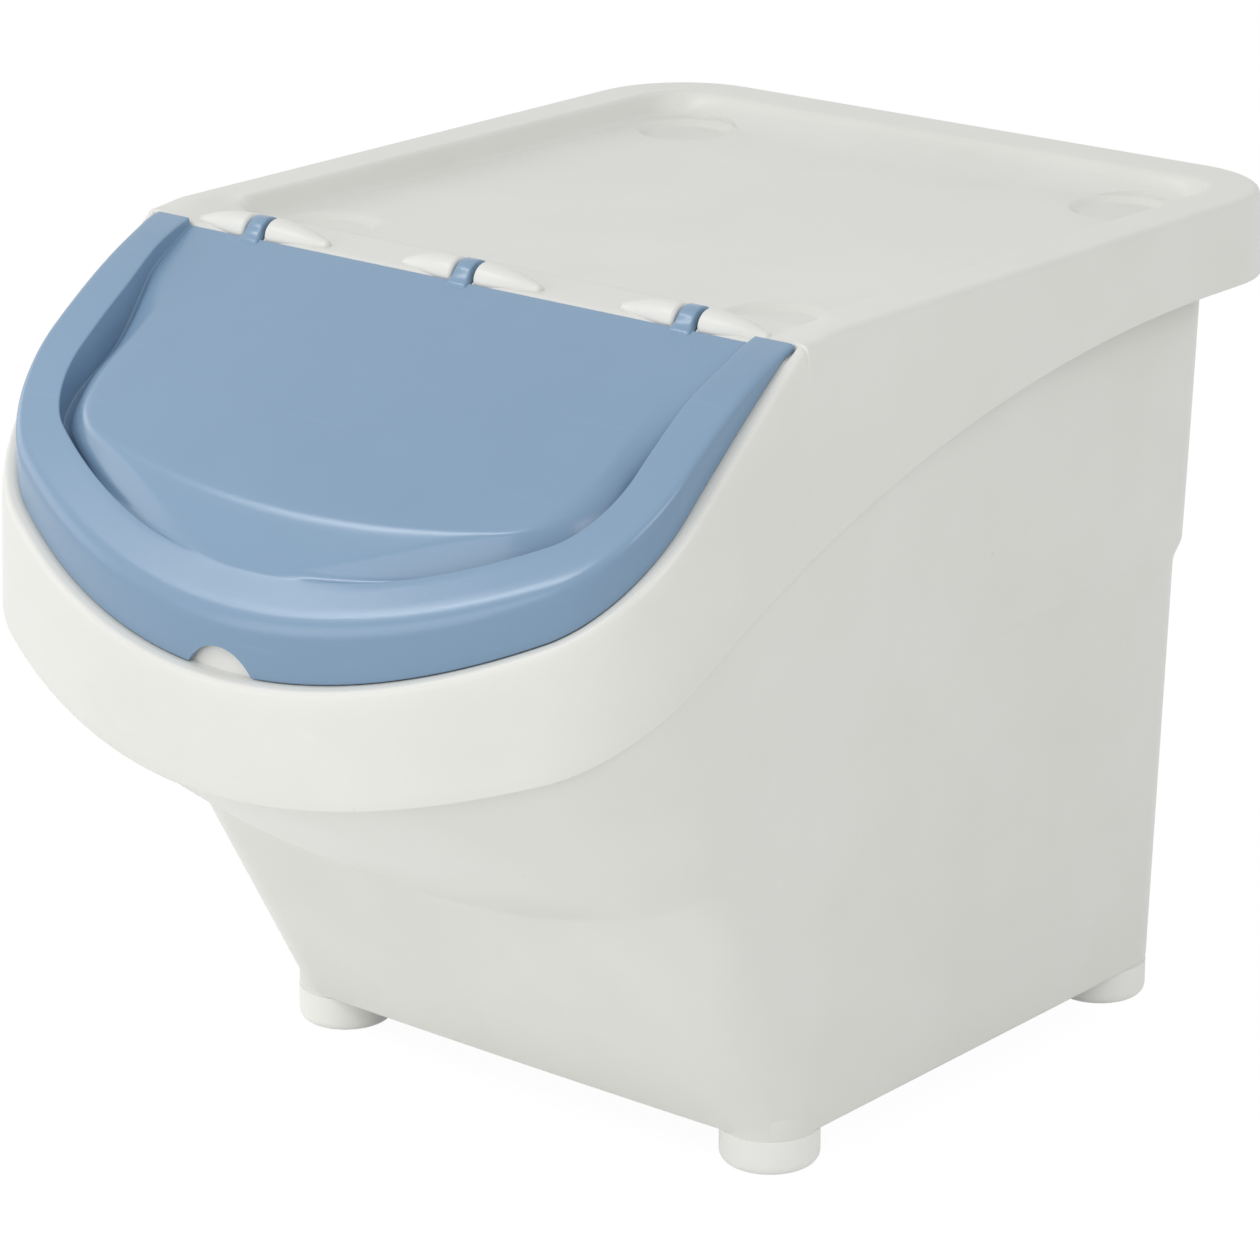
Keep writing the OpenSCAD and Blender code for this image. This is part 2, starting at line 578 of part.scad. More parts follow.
// Roundness of the groove's two sides, as shares of the hood's own arc and corners.
border_arc_share = 0.88;
border_corner_share = 0.54;
panel_arc_share = 1.34;
panel_corner_share = 0.58;
border_outline = [flap_outline[0] - border_w, flap_outline[1] + border_front_w, 0,
    border_arc_share * front_arc_r, border_corner_share * front_corner_r, 0];
panel_outline = [border_outline[0] - groove_w, border_outline[1] + slope_d, 0,
    panel_arc_share * front_arc_r, panel_corner_share * front_corner_r, 0];
function inset(o, d) = [o[0] - d, o[1] + d, o[2] - d, o[3] - d, o[4] - d, o[5] - d];
function flap_pt(o, i, widen) = i <= n_mouth
    ? mouth_pt(o, i)
    : let (y = mix(corner_y(o), flap_rear_y, rear_share(i - n_mouth)))
        [o[0] + widen * ease((y - flap_rear_y + 26) / 24), y];
// The panel's edge is cut into the same shares of its length as the border's inner edge.
function front_len(o) = o[3] * corner_angle(o) * PI / 180;
function corner_len(o) = o[4] * (90 - corner_angle(o)) * PI / 180;
function share(o, i) = let (a = front_len(o), b = corner_len(o)) i <= n_front
    ? a / (a + b) * i / n_front
    : (a + b * (i - n_front) / n_corner) / (a + b);
function share_pt(o, f) = let (a = front_len(o), b = corner_len(o), s = f * (a + b)) s <= a
    ? arc_pt(o, s / o[3] * 180 / PI)
    : corner_pt(o, corner_angle(o) + (s - a) / o[4] * 180 / PI);
function panel_pt(o, i, widen) = i <= n_mouth ? share_pt(o, share(border_outline, i)) : flap_pt(o, i, widen);
function groove_z(y) = let (full = ease((flap_rear_y - 12 - y) / 40))
    min(panel_z(y) - groove_depth * full, border_in_z(y) - 0.3);

function flap_column(i) =
    let (y0 = flap_pt(flap_outline, i, 0)[1],
        r = min(flap_round, 0.7 * (border_z(y0) - edge_z(y0))),
        a = flap_pt(inset(flap_outline, 0.29 * r), i, 0), b = flap_pt(inset(flap_outline, r), i, 0),
        e = flap_pt(border_outline, i, 1), g1 = flap_pt(inset(border_outline, 1.5), i, 1.2),
        g2 = flap_pt(inset(border_outline, 4), i, 2.5), d = panel_pt(panel_outline, i, 6),
        d1 = panel_pt(inset(panel_outline, 2.3), i, 0), d2 = panel_pt(inset(panel_outline, 6), i, 0),
        straight = i >= n_front ? 0 : 1 - pow(i / n_front, 2),
        tip = ease((flap_rear_y - 4 - d[1]) / 12),
        ze = border_in_z(e[1]), zd = panel_z(d[1]) - 2.3 * tip)
    [lift(flap_pt(flap_outline, i, 0), edge_z(y0)), lift(flap_pt(flap_outline, i, 0), border_z(y0) - r),
        lift(a, border_z(a[1]) - 0.29 * r), lift(b, border_z(b[1])), lift(e, ze),
        lift(g1, mix(groove_z(g1[1]), mix(ze, zd, 0.13), straight)),
        lift(g2, mix(groove_z(g2[1]), mix(ze, zd, 0.34), straight)), lift(d, zd),
        lift(d1, panel_z(d1[1]) - 0.5 * tip), lift(d2, panel_z(d2[1]))];

flap_cols = [for (i = [0:n_flap_half]) flap_column(i)];
flap_outer = [for (j = [-n_flap_half:n_flap_half]) [for (p = flap_cols[abs(j)]) j >= 0 ? p : mirrored(p)]];
flap_inner = [for (j = [0:n_flap - 1])
    let (a = flap_outer[max(j - 1, 0)], b = flap_outer[min(j + 1, n_flap - 1)],
    c = flap_outer[j], end = j == 0 || j == n_flap - 1)
    [for (k = [0:flap_rings - 1])
        let (n = unit(cross(b[k] - a[k], c[min(k + 1, flap_rings - 1)] - c[max(k - 1, 0)])),
            q = c[k] - flap_wall * n)
        k == 0 ? lift(c[0] - flap_wall * unit([n[0], n[1], 0]), c[0][2])
            : end ? [c[k][0] - flap_wall * n[0], c[k][1], c[k][2] - flap_wall * n[2]] : q]];

flap_rows = n_flap_half - n_front;
flap_cells = 2 * n_front;
flap_band = n_flap * flap_rings;
flap_fill = flap_rows * (flap_cells - 1);
function flap_id(side, j, k) = side * flap_band + j * flap_rings + k;
function panel_id(side, r, c) = r == 0
    ? flap_id(side, n_flap_half - n_front + c, flap_rings - 1)
    : c == 0
        ? flap_id(side, n_flap_half - n_front - r, flap_rings - 1)
        : c == flap_cells
            ? flap_id(side, n_flap_half + n_front + r, flap_rings - 1)
            : 2 * flap_band + side * flap_fill + (r - 1) * (flap_cells - 1) + c - 1;
function fill_row(grid) = [for (r = [1:flap_rows]) for (c = [1:flap_cells - 1])
    let (p = grid[n_flap_half + n_front + r][flap_rings - 1]) [p[0] * (2 * c / flap_cells - 1), p[1], p[2]]];
top_ring = flap_rings - 1;
flap_faces = concat(
    [for (j = [0:n_flap - 2]) for (k = [0:top_ring - 1])
        for (f = quad(flap_id(0, j, k), flap_id(0, j, k + 1),
        flap_id(0, j + 1, k + 1), flap_id(0, j + 1, k))) f],
    [for (j = [0:n_flap - 2]) for (k = [0:top_ring - 1])
        for (f = quad(flap_id(1, j, k), flap_id(1, j + 1, k),
        flap_id(1, j + 1, k + 1), flap_id(1, j, k + 1))) f],
    [for (j = [0:n_flap - 2]) for (f = quad(flap_id(0, j, 0), flap_id(0, j + 1, 0),
        flap_id(1, j + 1, 0), flap_id(1, j, 0))) f],
    [for (k = [0:top_ring - 1]) for (f = quad(flap_id(0, n_flap - 1, k), flap_id(0, n_flap - 1, k + 1),
        flap_id(1, n_flap - 1, k + 1), flap_id(1, n_flap - 1, k))) f],
    [for (k = [0:top_ring - 1]) for (f = quad(flap_id(0, 0, k), flap_id(1, 0, k),
        flap_id(1, 0, k + 1), flap_id(0, 0, k + 1))) f],
    [for (r = [0:flap_rows - 1]) for (c = [0:flap_cells - 1]) for (f = quad(panel_id(0, r, c),
        panel_id(0, r + 1, c), panel_id(0, r + 1, c + 1), panel_id(0, r, c + 1))) f],
    [for (r = [0:flap_rows - 1]) for (c = [0:flap_cells - 1]) for (f = quad(panel_id(1, r, c),
        panel_id(1, r, c + 1), panel_id(1, r + 1, c + 1), panel_id(1, r + 1, c))) f],
    [for (c = [0:flap_cells - 1]) for (f = quad(panel_id(0, flap_rows, c + 1), panel_id(0, flap_rows, c),
        panel_id(1, flap_rows, c), panel_id(1, flap_rows, c + 1))) f]);

module flap_shell() {
    polyhedron(points = concat([for (c = flap_outer) for (p = c) p], [for (c = flap_inner) for (p = c) p],
        fill_row(flap_outer), fill_row(flap_inner)), faces = flap_faces, convexity = 10);
}
module hook(x) {
    along_x(x - hook_w / 2, axis_y, axis_z)
        cylinder(h = hook_w, r = hook_r, $fn = 60);
    translate([x - hook_w / 2, flap_rear_y - 2, axis_z - 2.9])
        cube([hook_w, 5, 4]);
}
// The opening through which a hook snaps over its pin, below and behind the axis.
module hook_mouth(x) {
    translate([x - hook_w / 2 - 1, axis_y, axis_z])
        rotate([90, 0, 90])
            linear_extrude(hook_w + 2)
                polygon([[0, 0], [-0.18 * 2 * hook_r, -2 * hook_r], [0.87 * 2 * hook_r, -2 * hook_r],
                    [0.87 * 2 * hook_r, -hook_r]]);
}
notch_z = mouth_z(front_y + flap_inset);
module flap() {
    color(blue)
    difference() {
        union() {
            flap_shell();
            for (x = [-hinge_pitch, 0, hinge_pitch])
                hook(x);
        }
        for (x = [-hinge_pitch, 0, hinge_pitch]) {
            along_x(x - hook_w / 2 - 1, axis_y, axis_z)
                cylinder(h = hook_w + 2, r = pin_r + hook_fit, $fn = 48);
            hook_mouth(x);
        }
        translate([0, front_y + flap_inset + 8, notch_z + notch_h - notch_r])
            rotate([90, 0, 0])
                cylinder(h = 10, r = notch_r, $fn = 72);
    }
}

// ---- hinge pins ----
module hinge_pin(x) {
    color(white)
    along_x(x - slot_w / 2 - pin_seat + 0.1, axis_y, axis_z)
        cylinder(h = slot_w + 2 * pin_seat - 0.2, r = pin_r, $fn = 48);
}
module hinge_pin_left() {
    hinge_pin(-hinge_pitch);
}
module hinge_pin_centre() {
    hinge_pin(0);
}
module hinge_pin_right() {
    hinge_pin(hinge_pitch);
}

tub();
foot_front_left();
foot_front_right();
foot_back_left();
foot_back_right();
hood();
hinge_pin_left();
hinge_pin_centre();
hinge_pin_right();
flap();
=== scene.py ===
# Rice bin: a white tub on four feet, a hood that drops over its rim, a blue flip flap on three hinge pins.
from functools import partial
from math import asin, cos, exp, pi, radians, sin, sqrt, tan

import bpy
from mathutils import Matrix, Vector


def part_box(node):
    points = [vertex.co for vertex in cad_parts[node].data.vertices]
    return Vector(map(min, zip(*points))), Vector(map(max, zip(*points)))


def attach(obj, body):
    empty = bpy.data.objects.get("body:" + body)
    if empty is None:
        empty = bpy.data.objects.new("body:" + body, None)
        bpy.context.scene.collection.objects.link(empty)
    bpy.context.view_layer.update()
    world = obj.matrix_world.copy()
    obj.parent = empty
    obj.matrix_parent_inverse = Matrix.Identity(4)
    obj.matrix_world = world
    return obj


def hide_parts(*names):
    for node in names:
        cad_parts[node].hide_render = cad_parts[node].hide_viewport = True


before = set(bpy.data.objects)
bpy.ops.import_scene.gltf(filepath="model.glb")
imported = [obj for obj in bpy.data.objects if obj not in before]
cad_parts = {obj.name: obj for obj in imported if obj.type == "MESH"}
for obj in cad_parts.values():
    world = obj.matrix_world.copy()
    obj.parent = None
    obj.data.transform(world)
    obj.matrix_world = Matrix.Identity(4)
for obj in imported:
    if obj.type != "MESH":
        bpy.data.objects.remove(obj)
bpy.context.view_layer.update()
print("frame loaded:", ", ".join(sorted(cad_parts)))

mm = 0.001  # the shapes below are worked out in millimetres
sharpAngle = 40  # a steeper fold than this stays crisp
footNodes = ["foot_front_left", "foot_front_right", "foot_back_left", "foot_back_right"]
pinNodes = ["hinge_pin_left", "hinge_pin_centre", "hinge_pin_right"]


def boxMm(node):
    low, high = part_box(node)
    return low / mm, high / mm


def underFoot(node, z):
    low, high = boxMm(node)
    return (low.x + high.x) / 2, (low.y + high.y) / 2, z


# small helpers
def clamp(v, low=0.0, high=1.0):
    return min(max(v, low), high)


def ease(v):
    u = clamp(v)
    return u * u * (3 - 2 * u)


def mix(a, b, t):
    return a + (b - a) * t


def mixAll(a, b, t):
    return tuple(mix(u, v, t) for u, v in zip(a, b))


def bezier(a, b, c, t):
    return tuple((1 - t) ** 2 * u + 2 * t * (1 - t) * v + t * t * w for u, v, w in zip(a, b, c))


def distance(a, b):
    return sqrt(sum((u - v) ** 2 for u, v in zip(a, b)))


def softLine(keys, softs, fills, steps=4):
    # a line through its corners, each one rounded back along both straights, always with the same point count
    line = []
    last = len(keys) - 1
    for k, key in enumerate(keys):
        if k in (0, last):
            arc = [key]
        else:
            soft = softs[k] if isinstance(softs[k], tuple) else (softs[k], softs[k])
            before, after = distance(keys[k - 1], key), distance(key, keys[k + 1])
            a = mixAll(key, keys[k - 1], min(soft[0] / max(before, 1e-9), 0.48))
            c = mixAll(key, keys[k + 1], min(soft[1] / max(after, 1e-9), 0.48))
            arc = [bezier(a, key, c, t / steps) for t in range(steps + 1)]
        if line:
            start = line[-1]
            line += [mixAll(start, arc[0], (n + 1) / (fills[k - 1] + 1)) for n in range(fills[k - 1])]
        line += arc
    return line


def inScene(name, data):
    thing = bpy.data.objects.new(name, data)
    bpy.context.scene.collection.objects.link(thing)
    return thing


def newPiece(name, points, faces):
    mesh = bpy.data.meshes.new(name)
    mesh.from_pydata([tuple(v * mm for v in p) for p in points], [], faces)
    mesh.validate()
    return smoothPiece(inScene(name, mesh))


def smoothPiece(piece):
    piece.data.shade_smooth()
    piece.data.set_sharp_from_angle(angle=radians(sharpAngle))
    return piece


def evaluated(piece):
    # the piece's mesh with its modifiers applied, and no modifier left
    graph = bpy.context.evaluated_depsgraph_get()
    mesh = bpy.data.meshes.new_from_object(piece.evaluated_get(graph))
    old = piece.data
    piece.modifiers.clear()
    piece.data = mesh
    if old.users == 0:
        bpy.data.meshes.remove(old)
    return piece


def carve(piece, cutter, operation="DIFFERENCE"):
    cut = piece.modifiers.new("cut", "BOOLEAN")
    cut.operation, cut.object, cut.solver = operation, cutter, "EXACT"
    evaluated(piece)
    bpy.data.objects.remove(cutter)
    return piece


def turned(name, outline, centre, sides=72, axis="Z"):
    # a closed solid of revolution: outline is (radius, height) from pole to pole
    points, faces, rows = [], [], outline[1:-1]
    for r, h in rows:
        for s in range(sides):
            a = 2 * pi * s / sides
            points.append((r * cos(a), r * sin(a), h))
    points += [(0, 0, outline[0][1]), (0, 0, outline[-1][1])]
    low, high = len(points) - 2, len(points) - 1
    for s in range(sides):
        n = (s + 1) % sides
        faces.append((low, n, s))
        faces.append((high, (len(rows) - 1) * sides + s, (len(rows) - 1) * sides + n))
        faces += [(k * sides + s, k * sides + n, (k + 1) * sides + n, (k + 1) * sides + s)
                  for k in range(len(rows) - 1)]
    if axis == "X":
        points = [(z, x, y) for x, y, z in points]
    return newPiece(name, [tuple(p + q for p, q in zip(pt, centre)) for pt in points], faces)


def cuboid(name, low, high):
    points = [(x, y, z) for z in (low[2], high[2]) for y in (low[1], high[1]) for x in (low[0], high[0])]
    faces = [(0, 2, 3, 1), (4, 5, 7, 6), (0, 1, 5, 4), (2, 6, 7, 3), (0, 4, 6, 2), (1, 3, 7, 5)]
    return newPiece(name, points, faces)


# what the pieces share: an outline is half width, front y, back y, front arc, front corner, back corner
hoodLow, hoodHigh = boxMm("hood")
pinLow, pinHigh = boxMm(pinNodes[1])
outerPinLow, outerPinHigh = boxMm(pinNodes[2])
stripDrop = 4  # of the hinge strip below the rim
hinge = {
    "axisY": (pinLow.y + pinHigh.y) / 2,
    "axisZ": (pinLow.z + pinHigh.z) / 2,
    "pitch": (outerPinLow.x + outerPinHigh.x) / 2,
    "pinRadius": (pinHigh.z - pinLow.z) / 2,
    "hookWidth": 8.7,
    "slotWidth": 9.9,
    "stripAhead": 6.5,
    "flapGap": 0.5,
}
hood = {
    "halfWidth": hoodHigh.x,
    "frontY": hoodLow.y,
    "backY": hoodHigh.y,
    "rimHeight": hinge["axisZ"] + stripDrop,
    "frontArc": 284,
    "frontCorner": 52,
    "backCorner": 43,
    "wall": 2.4,
    "draft": 1.5,
    "skirtHeight": 31,
    "lipLow": 161.5,
    "lipSlope": 0.95,
    "lipRound": 6.5,
    "rimRound": 2.6,
    "rimWidth": 20,
    "trayDepth": 8.5,
    "coveLength": 33,
    "coveBow": 17,
    "coveReach": 105,  # half width in which the cove gains its bow
    "trayInset": 33,  # from the strip's front edge
    "mouthDrop": 1.8,
    "skirtPull": 190,  # reach of the skirt curve's two handles
    "lipPull": 50,
    "upstand": 12,
    "edgeRound": 1.1,  # along the strip's front edge
    "bendBack": 61,  # where the skirt's curve begins, in from the back
    "frontDrop": 1.6,  # how much lower the rim is beside the strip
    "frontRun": 18,
    "bedRun": 7,  # how fast the tray's floor and its wall begin behind the low front wall
    "wallRun": 12,
    "shoulderDrop": 0.14,
    "flapRun": 1.2,  # room between the flap's wall and the upstand
    "upstandWidth": 1.4,
    "ledge": (1.4, 0.7),  # from the top's edge down to the ledge, in from the flap's wall
    "bandWidth": 9,
    "wallWidth": 6,  # of the tray's wall at the sides
    "frontWall": (10, 28),  # start and end of the low wall at the front, in from the side
}
flap = {
    "inset": 7,
    "wall": 2,
    "rearSlope": 38,
    "frontSlope": 46.6,
    "panelSlope": 31.2,
    "panelDrop": 4.5,  # below the rim, at the rear edge
    "skirt": 19.5,
    "skirtGain": 6.5,  # how much of the skirt's height comes on the way to the front
    "skirtRun": 28,
    "bend": 4.8,
    "sideBorder": 18.9,
    "frontBorder": 13,
    "innerFlare": 2.4,  # the side border narrows by this towards the hinge
    "flareStart": 36,
    "flareRun": 24,
    "groove": 11,
    "grooveStep": 5,
    "grooveWidth": 14.1,
    "grooveEdge": 1.9,
    "grooveStart": 18,  # the groove begins this far from the rear edge, and is full depth after its run
    "grooveRun": 28,
    "panelRing": 9,
    "slopeDepth": 12.7,
    "gap": 0.4,
    "edgeUnder": 0.6,  # least depth of its edge below the border's underside
    "borderFall": 0.5,  # of the border's inner edge, at the front
    "panelFall": 0.2,  # of the panel's edge below its face
    "borderShares": (0.88, 0.54),  # arc and corner, as shares of the hood's
    "panelShares": (1.34, 0.58),
    "bendShares": (0.6, 0.7),  # the bend's size at the sides, and its most as a share of the edge's height
    "notchRadius": 17,
    "notchHeight": 8.5,
}
stripY = hinge["axisY"] - hinge["stripAhead"]
stripZ = hood["rimHeight"] - stripDrop
flapRearY = stripY - hinge["flapGap"]
trayFloorZ = hood["rimHeight"] - hood["trayDepth"]
skirtBackZ = hood["rimHeight"] - hood["skirtHeight"]


def hoodOutline(d):
    return (hood["halfWidth"] - d, hood["frontY"] + d, hood["backY"] - d, hood["frontArc"] - d,
            hood["frontCorner"] - d, hood["backCorner"] - d)


def cornerY(o):
    return o[1] + o[3] - sqrt((o[3] - o[4]) ** 2 - (o[0] - o[4]) ** 2)


def cornerAngle(o):
    return asin((o[0] - o[4]) / (o[3] - o[4]))


def arcPoint(o, a):
    return o[3] * sin(a), o[1] + o[3] - o[3] * cos(a)


def cornerPoint(o, a):
    return o[0] - o[4] + o[4] * sin(a), cornerY(o) - o[4] * cos(a)


def backPoint(o, a):
    return o[0] - o[5] + o[5] * cos(a), o[2] - o[5] + o[5] * sin(a)


# how many columns of points each stretch of half a rim has
columns = {"front": 26, "corner": 26, "mouthSide": 44, "backCorner": 18, "back": 40, "tubSide": 44}
mouthCols = columns["front"] + columns["corner"]


def mouthPoint(o, i):
    if i <= columns["front"]:
        return arcPoint(o, cornerAngle(o) * i / columns["front"])
    return cornerPoint(o, mix(cornerAngle(o), pi / 2, (i - columns["front"]) / columns["corner"]))


def rearPoint(o, i):
    if i <= columns["backCorner"]:
        return backPoint(o, pi / 2 * i / columns["backCorner"])
    return (o[0] - o[5]) * (1 - (i - columns["backCorner"]) / columns["back"]), o[2]


def rearShare(i):
    return 1 - (1 - i / columns["mouthSide"]) ** 1.3


# heights that follow the depth
skirtBendY = hood["backY"] - hood["bendBack"]


def skirtCurve(t):
    s, front = 1 - t, hood["frontY"]
    y = (s ** 3 * skirtBendY + 3 * s * s * t * (skirtBendY - hood["skirtPull"])
         + 3 * s * t * t * (front + hood["lipPull"]) + t ** 3 * front)
    z = ((s ** 3 + 3 * s * s * t) * skirtBackZ
         + 3 * s * t * t * (hood["lipLow"] + hood["lipPull"] * hood["lipSlope"]) + t ** 3 * hood["lipLow"])
    return y, z


skirtTable = [skirtCurve(1 - k / 128) for k in range(129)]  # y rises from the lip to the back


def skirtZ(y):
    if y >= skirtBendY:
        return skirtBackZ
    low, high = 0, len(skirtTable) - 1
    while high - low > 1:
        middle = (low + high) // 2
        low, high = (middle, high) if skirtTable[middle][0] <= y else (low, middle)
    (y0, z0), (y1, z1) = skirtTable[low], skirtTable[high]
    return mix(z0, z1, clamp((y - y0) / (y1 - y0)))


mouthLength = flapRearY - (hood["frontY"] + flap["inset"])
mouthSag = (tan(radians(flap["frontSlope"])) - tan(radians(flap["rearSlope"]))) / (2 * mouthLength)


def mouthRun(y):
    return max(0.0, flapRearY - y)


def mouthZ(y):
    t = mouthRun(y)
    return hood["rimHeight"] - hood["mouthDrop"] - tan(radians(flap["rearSlope"])) * t - mouthSag * t * t


def bendRise(y):
    t = mouthRun(y)
    return (flap["skirt"] - flap["skirtGain"]) * (1 - exp(-t / flap["skirtRun"])) + flap["skirtGain"] * t / mouthLength


def borderZ(y):
    return mouthZ(y) + bendRise(y)


def borderInnerZ(y):
    return borderZ(y) - flap["borderFall"] * mouthRun(y) / mouthLength


def flapEdgeZ(y):
    return min(mouthZ(y), borderZ(y) - flap["wall"] - flap["edgeUnder"])


def panelZ(y):
    return hood["rimHeight"] - flap["panelDrop"] - tan(radians(flap["panelSlope"])) * mouthRun(y)


# the tray: a wide cove along the back, a rounded wall at the sides and a low wall at the front
trayFrontY = stripY + hood["trayInset"]


def coveY(x):
    return hood["backY"] - hood["rimWidth"] - hood["coveLength"] + hood["coveBow"] * (x / hood["coveReach"]) ** 2


def trayZ(x, y):
    back = hood["backY"] - hood["rimWidth"]
    return trayFloorZ + hood["trayDepth"] * clamp((y - coveY(x)) / (back - coveY(x))) ** 2


def rimZ(y):
    return hood["rimHeight"] - hood["frontDrop"] * ease((stripY + hood["frontRun"] - y) / hood["frontRun"])


def edgeDip(y):
    u = clamp((y - stripY) / hood["edgeRound"])
    return hood["edgeRound"] * (1 - sqrt(1 - (1 - u) ** 2)) if u < 1 else 0.0


def innerZ(x, y):
    return mix(trayZ(x, y), stripZ, ease((trayFrontY - y) / hood["bedRun"]))


def topZ(x, y, d):
    front = ease((trayFrontY - y) / hood["wallRun"])
    start = mix(hood["rimWidth"], hood["frontWall"][0], front)
    end = mix(hood["rimWidth"] + hood["wallWidth"], hood["frontWall"][1], front)
    return mix(rimZ(y), innerZ(x, y), ease((d - start) / (end - start)))


# hood: a half profile at every column round the rim, mirrored
bandIn = hood["rimWidth"] + hood["bandWidth"]
stepShifts = [(0, 0, 2.2), (0.1, 0.45, 2.15), (0.25, 0.68, 2.05), (0.4, 0.8, 1.95), (0.7, 0.9, 1.75),
              (1.2, 0.96, 1.4), (2.0, 0.99, 0.7)]  # offset behind the flap, share of the rim's shape, inner shift
trayYs = ([stripY + 3 + 1.5 * k for k in range(26)] + [stripY + 45 + 9 * k for k in range(21)]
          + [stripY + 229 + 2.6 * k for k in range(9)])
stepCols, trayCols = len(stepShifts), len(trayYs)
hoodSide = columns["mouthSide"] + stepCols + trayCols
hoodHalf = mouthCols + hoodSide + columns["backCorner"] + columns["back"]
firstStep = mouthCols + columns["mouthSide"]
firstTray = firstStep + stepCols
cornerStart = mouthCols + hoodSide
cornerEnd = cornerStart + columns["backCorner"]


def sideY(i):
    if i <= columns["mouthSide"]:
        return mix(cornerY(hoodOutline(0)), stripY, rearShare(i))
    if i < columns["mouthSide"] + stepCols:
        return stripY + stepShifts[i - columns["mouthSide"]][0]
    return trayYs[i - columns["mouthSide"] - stepCols]


def hoodPoint(i, d):
    o = hoodOutline(d)
    if i <= mouthCols:
        return mouthPoint(o, i)
    if i < cornerStart:
        return o[0], sideY(i - mouthCols)
    return rearPoint(o, i - cornerStart)


upstandIn = flap["inset"] + flap["wall"] + hood["flapRun"]


def mouthProfile(i):
    y = hoodPoint(i, flap["inset"])[1]
    low, top = skirtZ(hoodPoint(i, 0)[1]), mouthZ(y) - flap["gap"]
    ledge, d0 = flapEdgeZ(y) - flap["gap"], hood["draft"]
    up = clamp(borderZ(y) - flap["wall"] - hood["flapRun"] - ledge, 0.1, hood["upstand"])
    share = clamp((i - mouthCols - 0.4 * columns["mouthSide"]) / (0.45 * columns["mouthSide"]))
    last = upstandIn + 2.4 if i <= mouthCols else mix(upstandIn + 2.4, bandIn, 1 - sqrt(1 - share ** 2))
    return [(0, low), (0.5 * d0, mix(low, top - hood["lipRound"], 0.5)), (d0, top - hood["lipRound"]),
            (d0 + 1.0, top - hood["shoulderDrop"] * hood["lipRound"]), (flap["inset"] - hood["ledge"][0], top),
            (flap["inset"] - hood["ledge"][1], ledge), (upstandIn - 0.4, ledge), (upstandIn, ledge + up),
            (upstandIn + hood["upstandWidth"], ledge + up), (upstandIn + 1.8, ledge + 0.05),
            (upstandIn + 2.2, ledge), (last, ledge - 0.3 * (last - upstandIn - 2.2))]


def rimProfile(i):
    x, y = hoodPoint(i, 0)
    low, top, d0, r = skirtZ(y), rimZ(y), hood["draft"], hood["rimRound"]
    head = [(0, low), (0.5 * d0, mix(low, top - r, 0.5)), (d0, top - r), (d0 + 0.29 * r, top - 0.29 * r),
            (d0 + r, top), (hood["rimWidth"] / 2 + 2, topZ(x, y, 12))]
    steps = [hood["rimWidth"] + s for s in (0, 1.5, 3, 4.5, 6.2)] + [bandIn]
    for d in steps:
        q = hoodPoint(i, d)
        head.append((d, topZ(q[0], q[1], d)))
    return head


def parallel(profile, wall):
    inside = []
    for k in range(len(profile)):
        a, b = profile[max(k - 1, 0)], profile[min(k + 1, len(profile) - 1)]
        n = distance(a, b)
        inside.append((profile[k][0] + wall * (b[1] - a[1]) / n, profile[k][1] + wall * (a[0] - b[0]) / n))
    return inside


def mouthInside(p):
    q, wall = parallel(p, hood["wall"]), hood["wall"]
    out = [(wall, p[0][1])] + q[1:4]
    out += [(max(p[k][0], q[3][0] + 0.3 * k), p[5][1] - wall) for k in range(4, 11)]
    return out + [(p[11][0], p[11][1] - wall)]


def rimInside(p, y):
    q, wall = parallel(p, hood["wall"]), hood["wall"]
    under = (min(p[11][1], trayFloorZ) if y > trayFrontY - 9 else p[11][1]) - wall
    return [(wall, p[0][1])] + q[1:11] + [(p[11][0], under)]


mouthSofts = [0.8, 0, 3.0, 2.0, 0.9, 0.4, 0.4, 0.5, 0.5, 0.3, 0.3, 0]
rimSofts = [0.8, 0, 1.0, 0.9, 1.2, 3.0, 1.0, 1.0, 1.0, 1.0, 1.2, 0]
insideSofts = [0.8, 0, 1.0, 1.0, 0.8, 0.8, 0.8, 0.8, 0.8, 0.8, 0.8, 0]
lineFills = [1] * 5 + [3] + [1] * 3 + [6, 1, 6] + [1] * 3 + [3] + [1] * 5  # points between each two keys


def dressLine(outer, inner, softs, shift):
    # the tray's edge, over the rim, down the wall and up again inside; key 1 lies on a straight and is left out
    keep = [k for k in range(12) if k != 1]
    keys = [outer[k] + (0,) for k in reversed(keep)] + [inner[k] + (shift,) for k in keep]
    soft = [softs[k] for k in reversed(keep)] + [insideSofts[k] for k in keep]
    return softLine(keys, soft, lineFills, 3)


def mouthLine(i, shift=0):
    p = mouthProfile(i)
    return dressLine(p, mouthInside(p), mouthSofts, shift)


def rimLine(i):
    p = rimProfile(i)
    return dressLine(p, rimInside(p, hoodPoint(i, bandIn)[1]), rimSofts, 0)


stepFront, stepBack = mouthLine(firstStep), rimLine(firstTray)


def hoodLine(i):
    if i < firstStep:
        return mouthLine(i)
    if i >= firstTray:
        return rimLine(i)
    _, share, shift = stepShifts[i - firstStep]
    return [mixAll(a, b, share)[:2] + (c[2],) for a, b, c in zip(stepFront, stepBack, mouthLine(firstStep, shift))]


def halfOf(j, half):
    return j if j <= half else 2 * half - j


